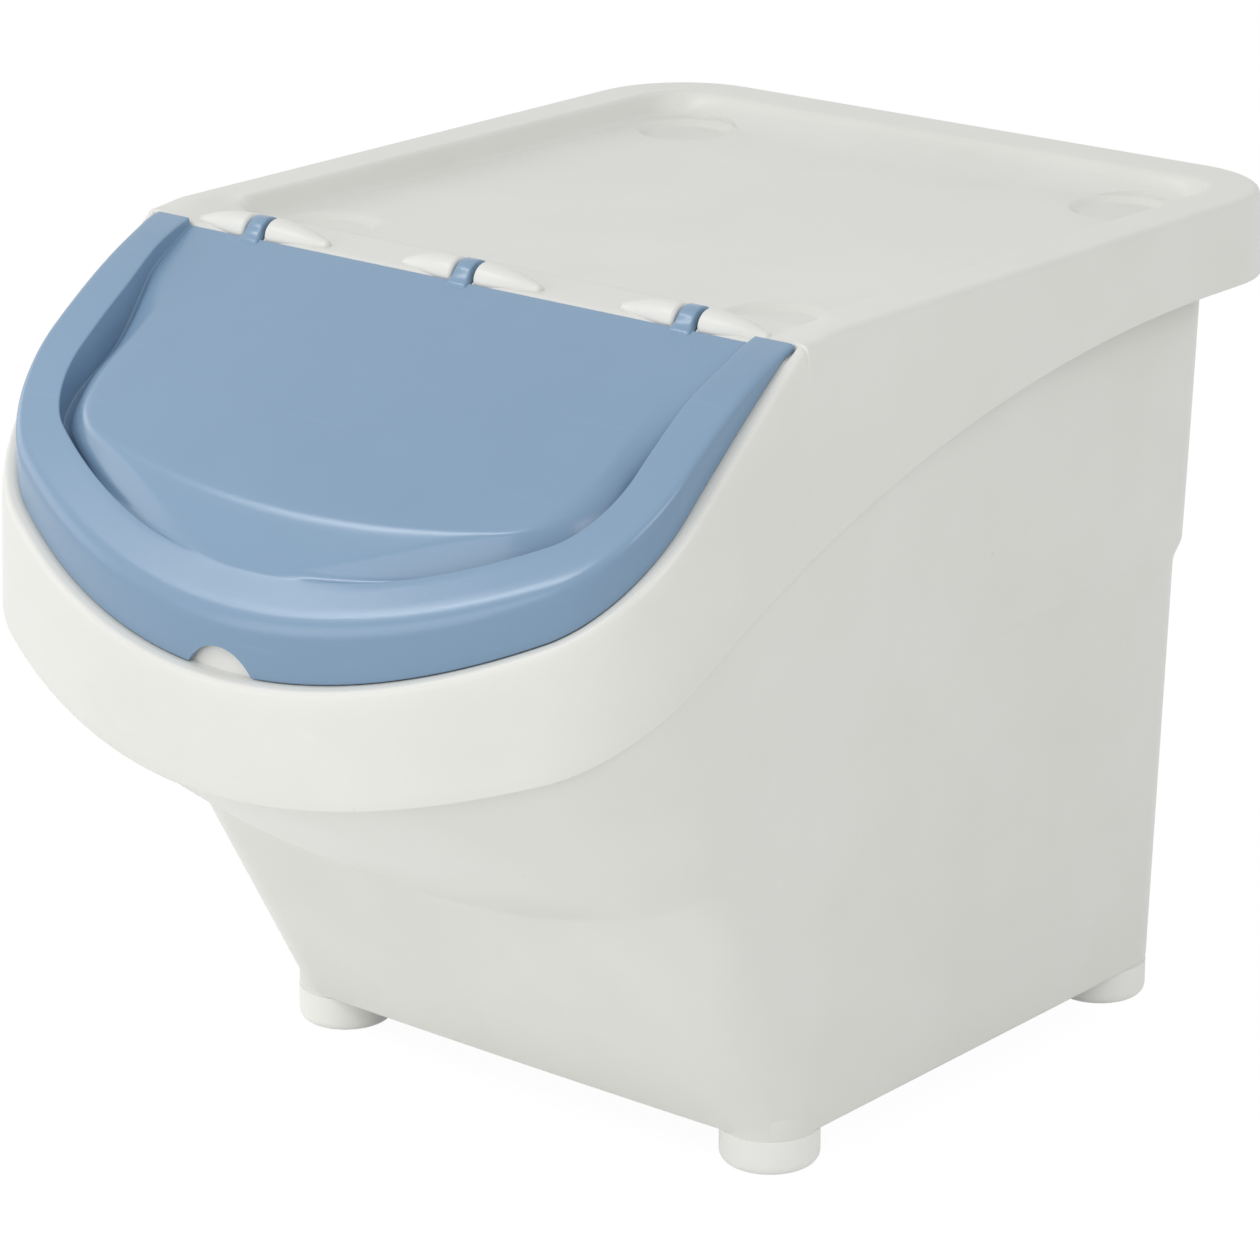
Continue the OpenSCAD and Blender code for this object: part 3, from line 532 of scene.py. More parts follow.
def makeHood():
    loop = 2 * hoodHalf
    halfCols = []
    for i in range(hoodHalf + 1):
        column = []
        for d, z, shift in hoodLine(i):
            x, y = hoodPoint(i, d)
            drop = edgeDip(y) if firstStep <= i < firstTray + 2 and d > 12 and shift == 0 else 0
            column.append((x, y + shift, z - drop))
        halfCols.append(column)
    size = len(halfCols[0])
    points = []
    for j in range(loop):
        column = halfCols[halfOf(j, hoodHalf)]
        points += column if j <= hoodHalf else [(-x, y, z) for x, y, z in column]

    def at(j, m):
        return (j % loop) * size + m

    faces = [(at(j, m), at(j, m + 1), at(j + 1, m + 1), at(j + 1, m)) for j in range(loop) for m in range(size - 1)]
    faces += [(at(j, 0), at(j + 1, 0), at(j + 1, size - 1), at(j, size - 1)) for j in range(-firstStep, firstStep)]
    rows, cells = cornerEnd - firstStep, 2 * columns["back"]
    for side, m in ((0, 0), (1, size - 1)):  # the tray's face, then its underside
        ids = []
        for r in range(rows + 1):
            if r == rows:
                ids.append([at(cornerEnd + c, m) for c in range(cells + 1)])
                continue
            a = halfCols[firstStep + r][m]
            row = [at(firstStep + r, m)]
            for c in range(1, cells):
                x = a[0] * (1 - 2 * c / cells)
                lift = trayZ(x, a[1]) - trayZ(a[0], a[1]) if a[1] > trayFrontY else 0
                row.append(len(points))
                points.append((x, a[1], a[2] + lift))
            ids.append(row + [at(loop - firstStep - r, m)])
        for r in range(rows):
            for c in range(cells):
                quad = (ids[r][c], ids[r + 1][c], ids[r + 1][c + 1], ids[r][c + 1])
                faces.append(quad if side == 0 else quad[::-1])
        if side == 0:
            topEdge = ids[0]
        else:
            faces += [(topEdge[c], topEdge[c + 1], ids[0][c + 1], ids[0][c]) for c in range(cells)]
    return newPiece("hoodShell", points, faces)


hoodPiece = makeHood()
print("hood lofted:", len(hoodPiece.data.polygons), "faces")

# stacking seats and hinge slots
footLow, footHigh = boxMm(footNodes[0])
footRadius = (footHigh.x - footLow.x) / 2
seat = {"depth": 2.4, "floor": 2.4, "flat": 14.2, "edge": 19.4}
for node in footNodes:
    middle = underFoot(node, trayFloorZ)
    thick, wide = seat["depth"] + seat["floor"], seat["edge"] + seat["floor"]
    carve(hoodPiece, turned("seatFloor", [(0, -thick), (wide, -thick), (wide, -0.5), (0, -0.5)], middle), "UNION")
    dish = [(mix(seat["flat"], seat["edge"], k / 10), -seat["depth"] * (1 - ease(k / 10))) for k in range(11)]
    pocket = [(0, -seat["depth"])] + dish + [(seat["edge"] + 0.3, 0.1), (seat["edge"] + 0.4, 9), (0, 9)]
    carve(hoodPiece, turned("seatCut", pocket, middle))
    print("seat cut over", node)
slot = {"front": 4, "back": 6.9, "reach": 16}  # ahead of the strip, behind the axis, up and down
for side in (-1, 0, 1):
    x = side * hinge["pitch"]
    half = hinge["slotWidth"] / 2
    carve(hoodPiece, cuboid("slotCut", (x - half, stripY - slot["front"], hinge["axisZ"] - slot["reach"]),
                            (x + half, hinge["axisY"] + slot["back"], hinge["axisZ"] + slot["reach"])))
smoothPiece(hoodPiece)
print("hood finished:", len(hoodPiece.data.polygons), "faces")

# tub
tub = {
    "baseWidth": 240,
    "baseDepth": 238,
    "setback": 31,
    "backCorner": 18,
    "frontCorner": 25,
    "frontFlat": 40,  # the front's arc in half widths, so wide that it is almost flat
    "floorRound": 2.2,
    "floorFillet": 4,
    "wall": 2.4,
    "frontLean": 0.55,
    "wallDraft": 0.0245,
    "upperDraft": 0.027,
    "crease": 92,
    "creaseRise": 18,  # from the middle of the front to its corner
    "creaseSide": 32,
    "stepHeight": 181.5,
    "stepWidth": 2.8,
    "stepRise": 7,
    "rimGap": 0.8,
    "restGap": 0.45,
    "bulge": 5,
    "bulgeRun": 129,
    "creaseBlend": (-85, 230),  # a depth and a run: where the side's crease rises to the step,
    "stepBlend": (40, 60),  # where the step comes up,
    "flushBlend": (-80, 230),  # where the wall meets the hood's skirt flush,
    "rimBlend": (4, 24),  # and where the rim rises behind the strip
    "bossRise": 6,
    "bossStep": 0.3,
}
footHeight = footHigh.z
baseBack = hood["backY"] - tub["setback"]
baseFront = baseBack - tub["baseDepth"]
tubHalf = mouthCols + columns["tubSide"] + columns["backCorner"] + columns["back"]


def bodyOutline(z, d):
    h = z - footHeight
    return (tub["baseWidth"] / 2 + tub["wallDraft"] * h - d, baseFront - tub["frontLean"] * h + d,
            baseBack + tub["wallDraft"] * h - d, tub["frontFlat"] * hood["halfWidth"] - d,
            tub["frontCorner"] - d, tub["backCorner"] - d)


def upperOutline(z):
    o, u = bodyOutline(tub["stepHeight"], -tub["stepWidth"]), tub["upperDraft"] * (z - tub["stepHeight"])
    return (o[0] + u, o[1], o[2] + u) + o[3:]


def tubPoint(o, i):
    if i <= mouthCols:
        return mouthPoint(o, i)
    if i < mouthCols + columns["tubSide"]:
        return o[0], mix(cornerY(o), o[2] - o[5], (i - mouthCols) / columns["tubSide"])
    return rearPoint(o, i - mouthCols - columns["tubSide"])


def creaseOn(i, y):
    side = tub["crease"] + tub["creaseSide"]
    if i <= columns["front"]:
        return tub["crease"] + tub["creaseRise"] * (i / columns["front"]) ** 2
    if i <= mouthCols:
        return mix(tub["crease"] + tub["creaseRise"], side, (i - columns["front"]) / columns["corner"])
    start, run = tub["creaseBlend"]
    return mix(tub["stepHeight"], side, (1 - clamp((y - start) / run)) ** 2)


def creaseZ(i):
    z = tub["crease"] + tub["creaseSide"]
    for _ in range(4):
        z = creaseOn(i, tubPoint(bodyOutline(z, 0), i)[1])
    return z


def blendOver(y, name):
    start, run = tub[name]
    return ease((y - start) / run)


def rimTop(y):
    rise = blendOver(y - stripY, "rimBlend")
    return mix(flapEdgeZ(y) - flap["gap"], hood["rimHeight"], rise) - hood["wall"] - tub["restGap"]


def tubKeys(i):
    # outer keys from under the floor to the rim, and the floor's inner keys
    def on(outline, z):
        return Vector(tubPoint(outline, i) + (z,))

    z1 = creaseZ(i)
    yh = tubPoint(hoodOutline(0), i)[1]
    low = skirtZ(yh)
    back = blendOver(tubPoint(bodyOutline(z1, 0), i)[1], "stepBlend")
    z0 = z1 - tub["stepRise"] * back
    p1 = on(bodyOutline(z0, 0), z0)
    flush, inset = blendOver(yh, "flushBlend"), hood["wall"] + tub["rimGap"]
    p2 = on(hoodOutline(inset), low + 1).lerp(on(upperOutline(low), low + 1), flush)
    s = p1.lerp(p2, 0.03).lerp(on(bodyOutline(z1, -tub["stepWidth"]), z1), back)
    v = p2 - s
    run = sqrt(v.x ** 2 + v.y ** 2)
    out = Vector((v.x * v.z, v.y * v.z, -run * run)) / v.length * tub["bulge"] / tub["bulgeRun"]
    flare = [s.lerp(p2, t) + out * 4 * t * (1 - t) for t in (0.12, 0.25, 0.4, 0.55, 0.7, 0.85)]
    bottom = [on(bodyOutline(footHeight, 9), footHeight), on(bodyOutline(footHeight, 0), footHeight)]
    top = [on(hoodOutline(inset + 0.3 * hood["draft"]), low + 10),
           on(hoodOutline(inset + hood["draft"] + 1.3), rimTop(yh))]
    floor = footHeight + tub["wall"]
    inside = [on(bodyOutline(floor, 12), floor), on(bodyOutline(floor, tub["wall"]), floor)]
    return bottom + [p1, s] + flare + [p2] + top, inside


def makeTub():
    loop = 2 * tubHalf
    half = [tubKeys(i) for i in range(tubHalf + 1)]
    flip = Matrix.Diagonal((-1, 1, 1))

    def column(j, part):
        keys = half[halfOf(j, tubHalf)][part]
        return keys if j <= tubHalf else [flip @ p for p in keys]

    outers, floors = [[column(j, part) for j in range(loop)] for part in (0, 1)]
    count = len(outers[0])
    softs = [0, tub["floorRound"], 2.5, 1.5] + [6] * 6 + [1.0, 3, 0.7]
    points = []
    for j in range(loop):
        before, here, after = outers[j - 1], outers[j], outers[(j + 1) % loop]
        inner = []
        for k in range(2, count):
            n = (after[k] - before[k]).cross(here[min(k + 1, count - 1)] - here[k - 1]).normalized()
            q = here[k] - n * tub["wall"]
            inner.append(Vector((q.x, q.y, here[k].z)) if k == count - 1 else q)
        keys = here + inner[::-1] + floors[j][::-1]
        soft = softs + softs[:1:-1] + [tub["floorFillet"], 0]
        fills = [0, 5, 1] + [0] * (count - 5) + [1, 3, 0, 3, 1] + [0] * (count - 5) + [5, 0]
        line = softLine([tuple(p) for p in keys], soft, fills, 3)
        points += line
    size = len(line)

    def at(j, m):
        return (j % loop) * size + m

    faces = [(at(j, m), at(j + 1, m), at(j + 1, m + 1), at(j, m + 1)) for j in range(loop) for m in range(size - 1)]
    for m in (0, size - 1):  # strips across the floor, below and above
        for j in range(tubHalf):
            strip = [at(j, m), at(loop - j, m), at(loop - j - 1, m), at(j + 1, m)]
            strip = [v for n, v in enumerate(strip) if v not in strip[:n]]
            faces.append(tuple(strip) if m == 0 else tuple(strip[::-1]))
    return newPiece("tubShell", points, faces)


tubPiece = makeTub()
for node in footNodes:
    middle, r = underFoot(node, footHeight), footRadius - tub["bossStep"]
    tall = tub["floorRound"] + (tub["bossRise"] if middle[1] < (baseFront + baseBack) / 2 else 0)
    carve(tubPiece, turned("boss", [(0, 0), (r, 0), (r, tall - 0.8), (r - 0.25, tall - 0.25), (r - 0.8, tall),
                                    (0, tall)], middle, 96), "UNION")
smoothPiece(tubPiece)
print("tub lofted:", len(tubPiece.data.polygons), "faces")

# flap
flapOutline = hoodOutline(flap["inset"])


def flapRing(halfWidth, frontY, shares):
    return halfWidth, frontY, 0, shares[0] * hood["frontArc"], shares[1] * hood["frontCorner"], 0


borderOutline = flapRing(flapOutline[0] - flap["sideBorder"], flapOutline[1] + flap["frontBorder"],
                         flap["borderShares"])
panelOutline = flapRing(borderOutline[0] - flap["grooveWidth"], borderOutline[1] + flap["slopeDepth"],
                        flap["panelShares"])
flapHalf = mouthCols + columns["mouthSide"]


def inward(o, d):
    return tuple(v + d if k == 1 else v - d for k, v in enumerate(o))


def flapPoint(o, i, flare=0.0):
    if i <= mouthCols:
        return mouthPoint(o, i)
    y = mix(cornerY(o), flapRearY, rearShare(i - mouthCols))
    return o[0] + flare * ease((y - flapRearY + flap["flareStart"]) / flap["flareRun"]), y


def edgeLengths(o):
    return o[3] * cornerAngle(o), o[4] * (pi / 2 - cornerAngle(o))


def panelPoint(o, i):
    # the panel's edge is cut into the same shares of its length as the border's inner edge
    if i > mouthCols:
        return flapPoint(o, i)
    a, b = edgeLengths(borderOutline)
    n = columns["front"]
    share = a / (a + b) * i / n if i <= n else (a + b * (i - n) / columns["corner"]) / (a + b)
    a, b = edgeLengths(o)
    s = share * (a + b)
    return arcPoint(o, s / o[3]) if s <= a else cornerPoint(o, cornerAngle(o) + (s - a) / o[4])


def grooveShare(y):
    return ease((flapRearY - flap["grooveStart"] - y) / flap["grooveRun"])


def grooveZ(y):
    deep = grooveShare(y)
    return min(panelZ(y) - flap["groove"] * deep, borderInnerZ(y) - 0.3 - flap["grooveStep"] * deep)


# shares of the way from the border's edge to the panel's edge
channel = {
    "rearShoulder": 0.12,  # the panel's rounded shoulder, from the hinge to the front corner
    "sideShoulder": 0.62,
    "cornerShoulder": 0.8,
    "shoulderStart": 20,
    "shoulderRun": 30,
    "wall": 0.1,  # foot of the outer wall and end of the floor, as shares of the shoulder's
    "floor": 0.4,
    "front": (0.06, 0.12, 0.2),  # the same three places in the middle of the front
    "frontRise": (0.055, 0.118),
    "sideDrop": 1.8,
    "sideSoft": 4.5,
}


def flapKeys(i):
    y0 = flapPoint(flapOutline, i)[1]
    toSide = clamp((i - columns["front"]) / columns["corner"])
    bendSide, bendMost = flap["bendShares"]
    bend = min(flap["bend"] * mix(1, bendSide, toSide), bendMost * (borderZ(y0) - flapEdgeZ(y0)))
    straight = 1 - ease((i / columns["front"] - 0.1) / 0.8)  # 1 in the middle, where the groove has run out
    around = 1 - ease((i - 0.6 * columns["front"]) / (0.4 * columns["front"] + 0.7 * columns["corner"]))
    e = flapPoint(borderOutline, i, flap["innerFlare"])
    d, d2 = panelPoint(panelOutline, i), panelPoint(inward(panelOutline, flap["panelRing"]), i)
    sideways = clamp((flapRearY - e[1] - channel["shoulderStart"]) / channel["shoulderRun"])
    shoulder = mix(channel["cornerShoulder"], mix(channel["rearShoulder"], channel["sideShoulder"], sideways), toSide)
    sideShares = (channel["wall"] * shoulder, channel["floor"] * shoulder, shoulder)
    shares = [mix(side, front, straight) for side, front in zip(sideShares, channel["front"])]
    g1, g2, w = [mixAll(e, d, share) for share in shares]
    tip = grooveShare(d[1])
    ze, zd = borderInnerZ(e[1]), panelZ(d[1]) - flap["panelFall"] * tip
    drop = flap["grooveEdge"] * mix(1, channel["sideDrop"], toSide) * tip
    zw = mix(panelZ(w[1]) - drop, mix(ze, zd, shares[2]), around)
    keys = [flapPoint(flapOutline, i) + (flapEdgeZ(y0),), flapPoint(flapOutline, i) + (borderZ(y0),), e + (ze,),
            g1 + (mix(grooveZ(g1[1]), mix(ze, zd, channel["frontRise"][0]), straight),),
            g2 + (mix(grooveZ(g2[1]), mix(ze, zd, channel["frontRise"][1]), straight),),
            w + (zw,), d + (zd,), d2 + (panelZ(d2[1]),)]
    return [Vector(k) for k in keys], bend, straight, toSide


def makeFlap():
    flip = Matrix.Diagonal((-1, 1, 1))
    half = [flapKeys(i) for i in range(flapHalf + 1)]
    span = range(-flapHalf, flapHalf + 1)
    grid = [half[abs(j)][0] if j >= 0 else [flip @ p for p in half[-j][0]] for j in span]
    count, last = len(grid[0]), len(grid) - 1
    points = []
    for j, here in enumerate(grid):
        _, bend, straight, toSide = half[abs(j - flapHalf)]
        before, after = grid[max(j - 1, 0)], grid[min(j + 1, last)]
        inner = []
        for k in range(count):
            n = (after[k] - before[k]).cross(here[min(k + 1, count - 1)] - here[max(k - 1, 0)]).normalized()
            if j in (0, last):
                n.y = 0
            if k == 0:
                n.z = 0
                n.normalize()
            inner.append(here[k] - n * flap["wall"])
        keys = [tuple(p) for p in here[::-1] + inner]
        edgeSoft = (mix(1.6, 3.0, straight), mix(2.5, 5.0, straight))
        outSoft = [0.5, bend, 0.8, 0.6, 1.4, mix(1.6, channel["sideSoft"], toSide), edgeSoft, 0]
        inSoft = [0.5, max(bend - flap["wall"], 0.8), 1.2, 1.4, 1.6, 1.6, (2, 4), 0]
        line = softLine(keys, outSoft[::-1] + inSoft, [1, 1, 1, 1, 1, 3, 3, 0, 3, 3, 1, 1, 1, 1, 1], 4)
        points += line
    size, wide = len(line), len(grid)

    def at(j, m):
        return j * size + m

    faces = [(at(j, m), at(j, m + 1), at(j + 1, m + 1), at(j + 1, m))
             for j in range(wide - 1) for m in range(size - 1)]
    for j, order in ((0, 1), (wide - 1, -1)):  # rear ends of the border
        for m in range(size // 2 - 1):
            quad = (at(j, m), at(j, size - 1 - m), at(j, size - 2 - m), at(j, m + 1))
            faces.append(quad[::order])
    rows, cells, n = flapHalf - columns["front"], 2 * columns["front"], columns["front"]
    ends = []
    for side, m in ((0, 0), (1, size - 1)):
        ids = [[at(flapHalf - n + c, m) for c in range(cells + 1)]]
        for r in range(1, rows + 1):
            p = points[at(flapHalf + n + r, m)]
            row = [at(flapHalf - n - r, m)]
            for c in range(1, cells):
                row.append(len(points))
                points.append((p[0] * (2 * c / cells - 1), p[1], p[2]))
            ids.append(row + [at(flapHalf + n + r, m)])
        for r in range(rows):
            for c in range(cells):
                quad = (ids[r][c], ids[r][c + 1], ids[r + 1][c + 1], ids[r + 1][c])
                faces.append(quad if side == 0 else quad[::-1])
        ends.append(ids[-1])
    faces += [(ends[0][c], ends[0][c + 1], ends[1][c + 1], ends[1][c]) for c in range(cells)]
    return newPiece("flapShell", points, faces)


flapPiece = makeFlap()
notchZ = mouthZ(hood["frontY"] + flap["inset"]) + flap["notchHeight"] - flap["notchRadius"]
notch = turned("notchCut", [(0, -10), (flap["notchRadius"], -10), (flap["notchRadius"], 12), (0, 12)], (0, 0, 0), 96)
notch.data.transform(Matrix.Translation((0, (hood["frontY"] + flap["inset"]) * mm, notchZ * mm))
                     @ Matrix.Rotation(pi / 2, 4, "X"))
carve(flapPiece, notch)
smoothPiece(flapPiece)
print("flap finished:", len(flapPiece.data.polygons), "faces")


class Wire:  # one output socket, with arithmetic that adds its nodes
    def __init__(self, tree, socket):
        self.tree, self.socket = tree, socket

    @staticmethod
    def make(tree, kind, sockets=None, settings=None, out=0):
        node = tree.nodes.new(kind)
        for name, value in (settings or {}).items():
            if name == "stops":  # a ramp's stops, as (place, grey)
                ramp = node.color_ramp.elements
                while len(ramp) < len(value):
                    ramp.new(0.5)
                for stop, (place, grey) in zip(ramp, value):
                    stop.position, stop.color = place, (grey, grey, grey, 1)
            else:
                setattr(node, name, value)
        for name, value in (sockets or {}).items():
            plug(tree, node.inputs[name], value)
        return Wire(tree, node.outputs[out] if node.outputs else None)

    def part(self, k):
        return Wire.make(self.tree, "ShaderNodeSeparateXYZ", {"Vector": self}, out=k)

    def maths(self, operation, *others):
        values = [self if v is None else v for v in others] if None in others else [self, *others]
        return Wire.make(self.tree, "ShaderNodeMath", dict(enumerate(values)), {"operation": operation})

    def __add__(self, other):
        return self.maths("ADD", other)

    def __sub__(self, other):
        return self.maths("SUBTRACT", other)

    def __rsub__(self, other):
        return self.maths("SUBTRACT", other, None)

    def __mul__(self, other):
        return self.maths("MULTIPLY", other)

    def clamped(self):
        return self.maths("MINIMUM", 1.0).maths("MAXIMUM", 0.0)

    __radd__ = __add__
    __rmul__ = __mul__


def plug(tree, slot, value):
    if isinstance(value, Wire):
        tree.links.new(value.socket, slot)
    else:
        slot.default_value = value


# plastics
def linear(rgb):
    # 0-255 screen colour to the shader's linear one
    return tuple(v / 255 / 12.92 if v <= 10 else ((v / 255 + 0.055) / 1.055) ** 2.4 for v in rgb) + (1,)


def bareTree(owner):
    owner.use_nodes = True
    owner.node_tree.nodes.clear()
    return owner.node_tree


def plastic(name, look):
    material = bpy.data.materials.new(name)
    make = partial(Wire.make, bareTree(material))
    place = make("ShaderNodeTexCoord", out=3)

    def noise(scale, detail, where=place):
        return make("ShaderNodeTexNoise", {"Vector": where, "Scale": scale, "Detail": detail})

    def blend(share, first, second):
        return make("ShaderNodeMix", {0: share, 6: first, 7: second}, {"data_type": "RGBA"}, out=2)

    def fade(value, start, end, most=1.0):
        return make("ShaderNodeMapRange", {"Value": value, "From Min": start, "From Max": end, "To Min": 0.0,
                                           "To Max": most})

    def ramp(stops, value):
        return make("ShaderNodeValToRGB", {"Fac": value}, {"stops": stops})

    cloud, flow = noise(look["cloudScale"], 3.0), noise(look["cloudScale"] * 4, 2.0)
    grain, ripple = noise(look["grainScale"], 2.0), noise(look["rippleScale"], 1.0)
    rubs = None
    for turn in look["rubTurns"]:  # fine rub marks, each set lying one way
        lying = make("ShaderNodeMapping", {"Vector": place, "Rotation": turn, "Scale": look["rubStretch"]})
        marks = ramp(list(zip(look["rubEdge"], (0, 1))), noise(1.0, 2.0, lying))
        rubs = marks if rubs is None else rubs.maths("MAXIMUM", marks)
    dots = make("ShaderNodeTexVoronoi", {"Vector": place, "Scale": look["speckScale"]})
    specks = ramp([(0.0, 1), (look["speck"], 0)], dots)
    lowDust = fade(place.part(2) + (cloud - 0.5) * 0.02, look["dustTop"], 0.0)
    tone = ((cloud - 0.5) * look["cloudShare"] + (flow - 0.5) * look["flowShare"] + 0.5).clamped()
    body = blend(tone, linear(look["shade"]), linear(look["colour"]))
    # painted shade: the steeper a face stands, the more it is blended to the look's darker deep colour
    facing = make("ShaderNodeTexCoord", out=1).part(2)
    steepShaded = blend(fade(facing, *look["steepShadeRange"], look["steepShadeShare"]), body, linear(look["deep"]))
    worn = blend(rubs * look["rubPale"], steepShaded, linear(look["pale"]))
    marked = blend(specks * look["speckDark"], worn, linear(look["dirt"]))
    rough = (look["rough"] + (cloud - 0.5) * look["roughCloud"] + rubs * look["rubRough"]
             + lowDust * look["dustRough"]).clamped()

    def bump(raised, depth, settings=None, **below):
        return make("ShaderNodeBump", {"Strength": 1.0, "Distance": depth, "Height": raised, **below}, settings)

    wavy = bump(ripple, look["rippleDepth"], Normal=bump(grain, look["grainDepth"]))
    scored = bump(rubs, look["rubDepth"], {"invert": True}, Normal=wavy)
    shader = make("ShaderNodeBsdfPrincipled", {
        "Base Color": marked, "Roughness": rough, "Normal": scored, "IOR": look["ior"]})
    make("ShaderNodeOutputMaterial", {"Surface": shader})
    return material


whiteLook = {
    "colour": (226, 226, 222), "shade": (220, 220, 215), "pale": (233, 233, 230), "dirt": (150, 146, 136),
    "deep": (218, 218, 213), "steepShadeShare": 0.0, "steepShadeRange": (0.68, 0.2),  # painted shade: a steep face is darkened towards the deep colour
    "cloudScale": 7.0, "cloudShare": 1.6, "flowShare": 0.7, "grainScale": 1500.0, "grainDepth": 0.00003,
    "rippleScale": 34.0, "rippleDepth": 0.0003,
    "rubTurns": [(0.2, 0.5, 0.4), (1.1, -0.3, 1.9)], "rubStretch": (9, 260, 260), "rubEdge": (0.66, 0.74),
    "rubPale": 0.1, "rubRough": 0.03, "rubDepth": 0.000002,
    "speck": 0.028, "speckScale": 28.0, "speckDark": 0.2, "dustTop": 0.045, "dustRough": 0.1,
    "rough": 0.36, "roughCloud": 0.12, "ior": 1.49,
}
# painted light: the feet take a lighter copy of the white plastic, brightened to make up for the light they lack under
# the body
litFootLook = dict(whiteLook, colour=(238, 238, 235), shade=(234, 234, 230), rough=0.42)
pinLook = dict(whiteLook, colour=(222, 222, 217), rough=0.3, grainScale=2600.0)
# the flap's blue paints shade on its steep faces in full, with a darker deep blue
blueLook = dict(
    whiteLook, colour=(129, 157, 184), shade=(125, 153, 180), pale=(146, 172, 198), dirt=(96, 116, 138),
    deep=(119, 147, 174), steepShadeShare=1.0, rough=0.22, roughCloud=0.05, grainDepth=0.00001,
    rippleScale=26.0, rippleDepth=0.00008, rubPale=0.06, rubDepth=0.0, speckDark=0.12)
finishes = {
    "white_shell": plastic("shellPlastic", whiteLook),
    "white_foot": plastic("footPlastic", litFootLook),
    "white_pin": plastic("pinPlastic", pinLook),
    "blue_flap": plastic("flapPlastic", blueLook),
}
print("plastics mixed")


# feet, pins and fairings, turned by nodes
def nodeTree(name, inputs):
    tree = bpy.data.node_groups.new(name, "GeometryNodeTree")
    tree.interface.new_socket("Geometry", in_out="OUTPUT", socket_type="NodeSocketGeometry")
    for title, kind in inputs.items():
        tree.interface.new_socket(title, in_out="INPUT", socket_type="NodeSocket" + kind)
    source = tree.nodes.new("NodeGroupInput")
    return tree, {title: Wire(tree, source.outputs[title]) for title in inputs}


def closeTree(tree, geometry, material):
    # every tree ends in real faces with a material
    make = partial(Wire.make, tree)
    real = make("GeometryNodeRealizeInstances", {"Geometry": geometry})
    smooth = make("GeometryNodeSetShadeSmooth", {"Geometry": real})
    dressed = make("GeometryNodeSetMaterial", {"Geometry": smooth, "Material": material})
    make("NodeGroupOutput", {0: dressed})


def turnedTree():
    tree, given = nodeTree("turnedPiece", {
        "Radius": "Float", "End Radius": "Float", "Length": "Float", "Start Round": "Float",
        "End Round": "Float", "Swell": "Float", "Turn": "Vector", "Place": "Vector", "Material": "Material"})
    make = partial(Wire.make, tree)
    # a sheet rolled round the axis; its length falls into five stretches, from pole to pole
    sheet = make("GeometryNodeMeshGrid", {"Size X": 1.0, "Size Y": 1.0, "Vertices X": 97, "Vertices Y": 61})
    spot = make("GeometryNodeInputPosition")
    around, along = spot.part(0) * (2 * pi), (spot.part(1) + 0.5) * 5
    face, bendIn, wall, bendOut, back = [(along - k).clamped() for k in range(5)]
    quarterIn, quarterOut = bendIn * (pi / 2), bendOut * (pi / 2)
    r0, r1 = given["Start Round"], given["End Round"]
    radius = ((given["Radius"] - r0) * face + r0 * quarterIn.maths("SINE")
              + (given["End Radius"] - given["Radius"]) * wall + given["Swell"] * wall * (1 - wall) * 4
              - r1 * (1 - quarterOut.maths("COSINE")) - (given["End Radius"] - r1) * back)
    depth = (r0 * (1 - quarterIn.maths("COSINE")) + (given["Length"] - r0 - r1) * wall
             + r1 * quarterOut.maths("SINE"))
    spun = make("ShaderNodeCombineXYZ", {0: radius * around.maths("COSINE"), 1: radius * around.maths("SINE"),
                                         2: depth})
    shaped = make("GeometryNodeSetPosition", {"Geometry": sheet, "Position": spun})
    closed = make("GeometryNodeMergeByDistance", {"Geometry": shaped, "Distance": 0.000002})
    moved = make("GeometryNodeTransform", {"Geometry": closed, "Rotation": given["Turn"],
                                           "Translation": given["Place"]})
    closeTree(tree, moved, given["Material"])
    return tree


def grow(name, tree, values):
    # an object grown by a tree, with its inputs set by identifier, as a plain mesh
    piece = inScene(name, bpy.data.meshes.new(name))
    modifier = piece.modifiers.new("grow", "NODES")
    modifier.node_group = tree
    for item in tree.interface.items_tree:
        if item.in_out == "INPUT":
            modifier[item.identifier] = values[item.name]
    evaluated(piece)
    piece.data.name = name
    return piece


turnedPieces = turnedTree()


def turnedPiece(name, look, finish):
    return grow(name, turnedPieces, {
        "Radius": look["radius"] * mm, "End Radius": look["endRadius"] * mm, "Length": look["length"] * mm,
        "Start Round": look["startRound"] * mm, "End Round": look["endRound"] * mm, "Swell": look["swell"] * mm,
        "Turn": look["turn"], "Place": tuple(v * mm for v in look["place"]), "Material": finishes[finish]})


def joinPieces(name, pieces):
    mesh = bpy.data.meshes.new(name)
    points, faces = [], []
    for piece in pieces:
        start = len(points)
        points += [tuple(v.co) for v in piece.data.vertices]
        faces += [tuple(start + v for v in p.vertices) for p in piece.data.polygons]
    mesh.from_pydata(points, [], faces)
    mesh.materials.append(pieces[0].data.materials[0])
    for piece in pieces:
        bpy.data.objects.remove(piece)
    return smoothPiece(inScene(name, mesh))


foot = {"startRound": 4.0, "endRound": 0.2, "swell": 0.0, "turn": (0, 0, 0)}
feet = []
for node in footNodes:
    low, high = boxMm(node)
    r = (high.x - low.x) / 2
    foot.update(radius=r, endRadius=r, length=high.z, place=underFoot(node, 0))
    feet.append((turnedPiece(node + "_turned", foot, "white_foot"), node))
print("feet turned:", len(feet))

pin = {"startRound": 0.4, "endRound": 0.4, "swell": 0.0, "turn": (0, pi / 2, 0)}
pins = []
for node in pinNodes:
    low, high = boxMm(node)
    r = (high.z - low.z) / 2
    pin.update(radius=r, endRadius=r, length=high.x - low.x, place=(low.x, hinge["axisY"], hinge["axisZ"]))
    pins.append((turnedPiece(node + "_turned", pin, "white_pin"), node))
print("pins turned:", len(pins))

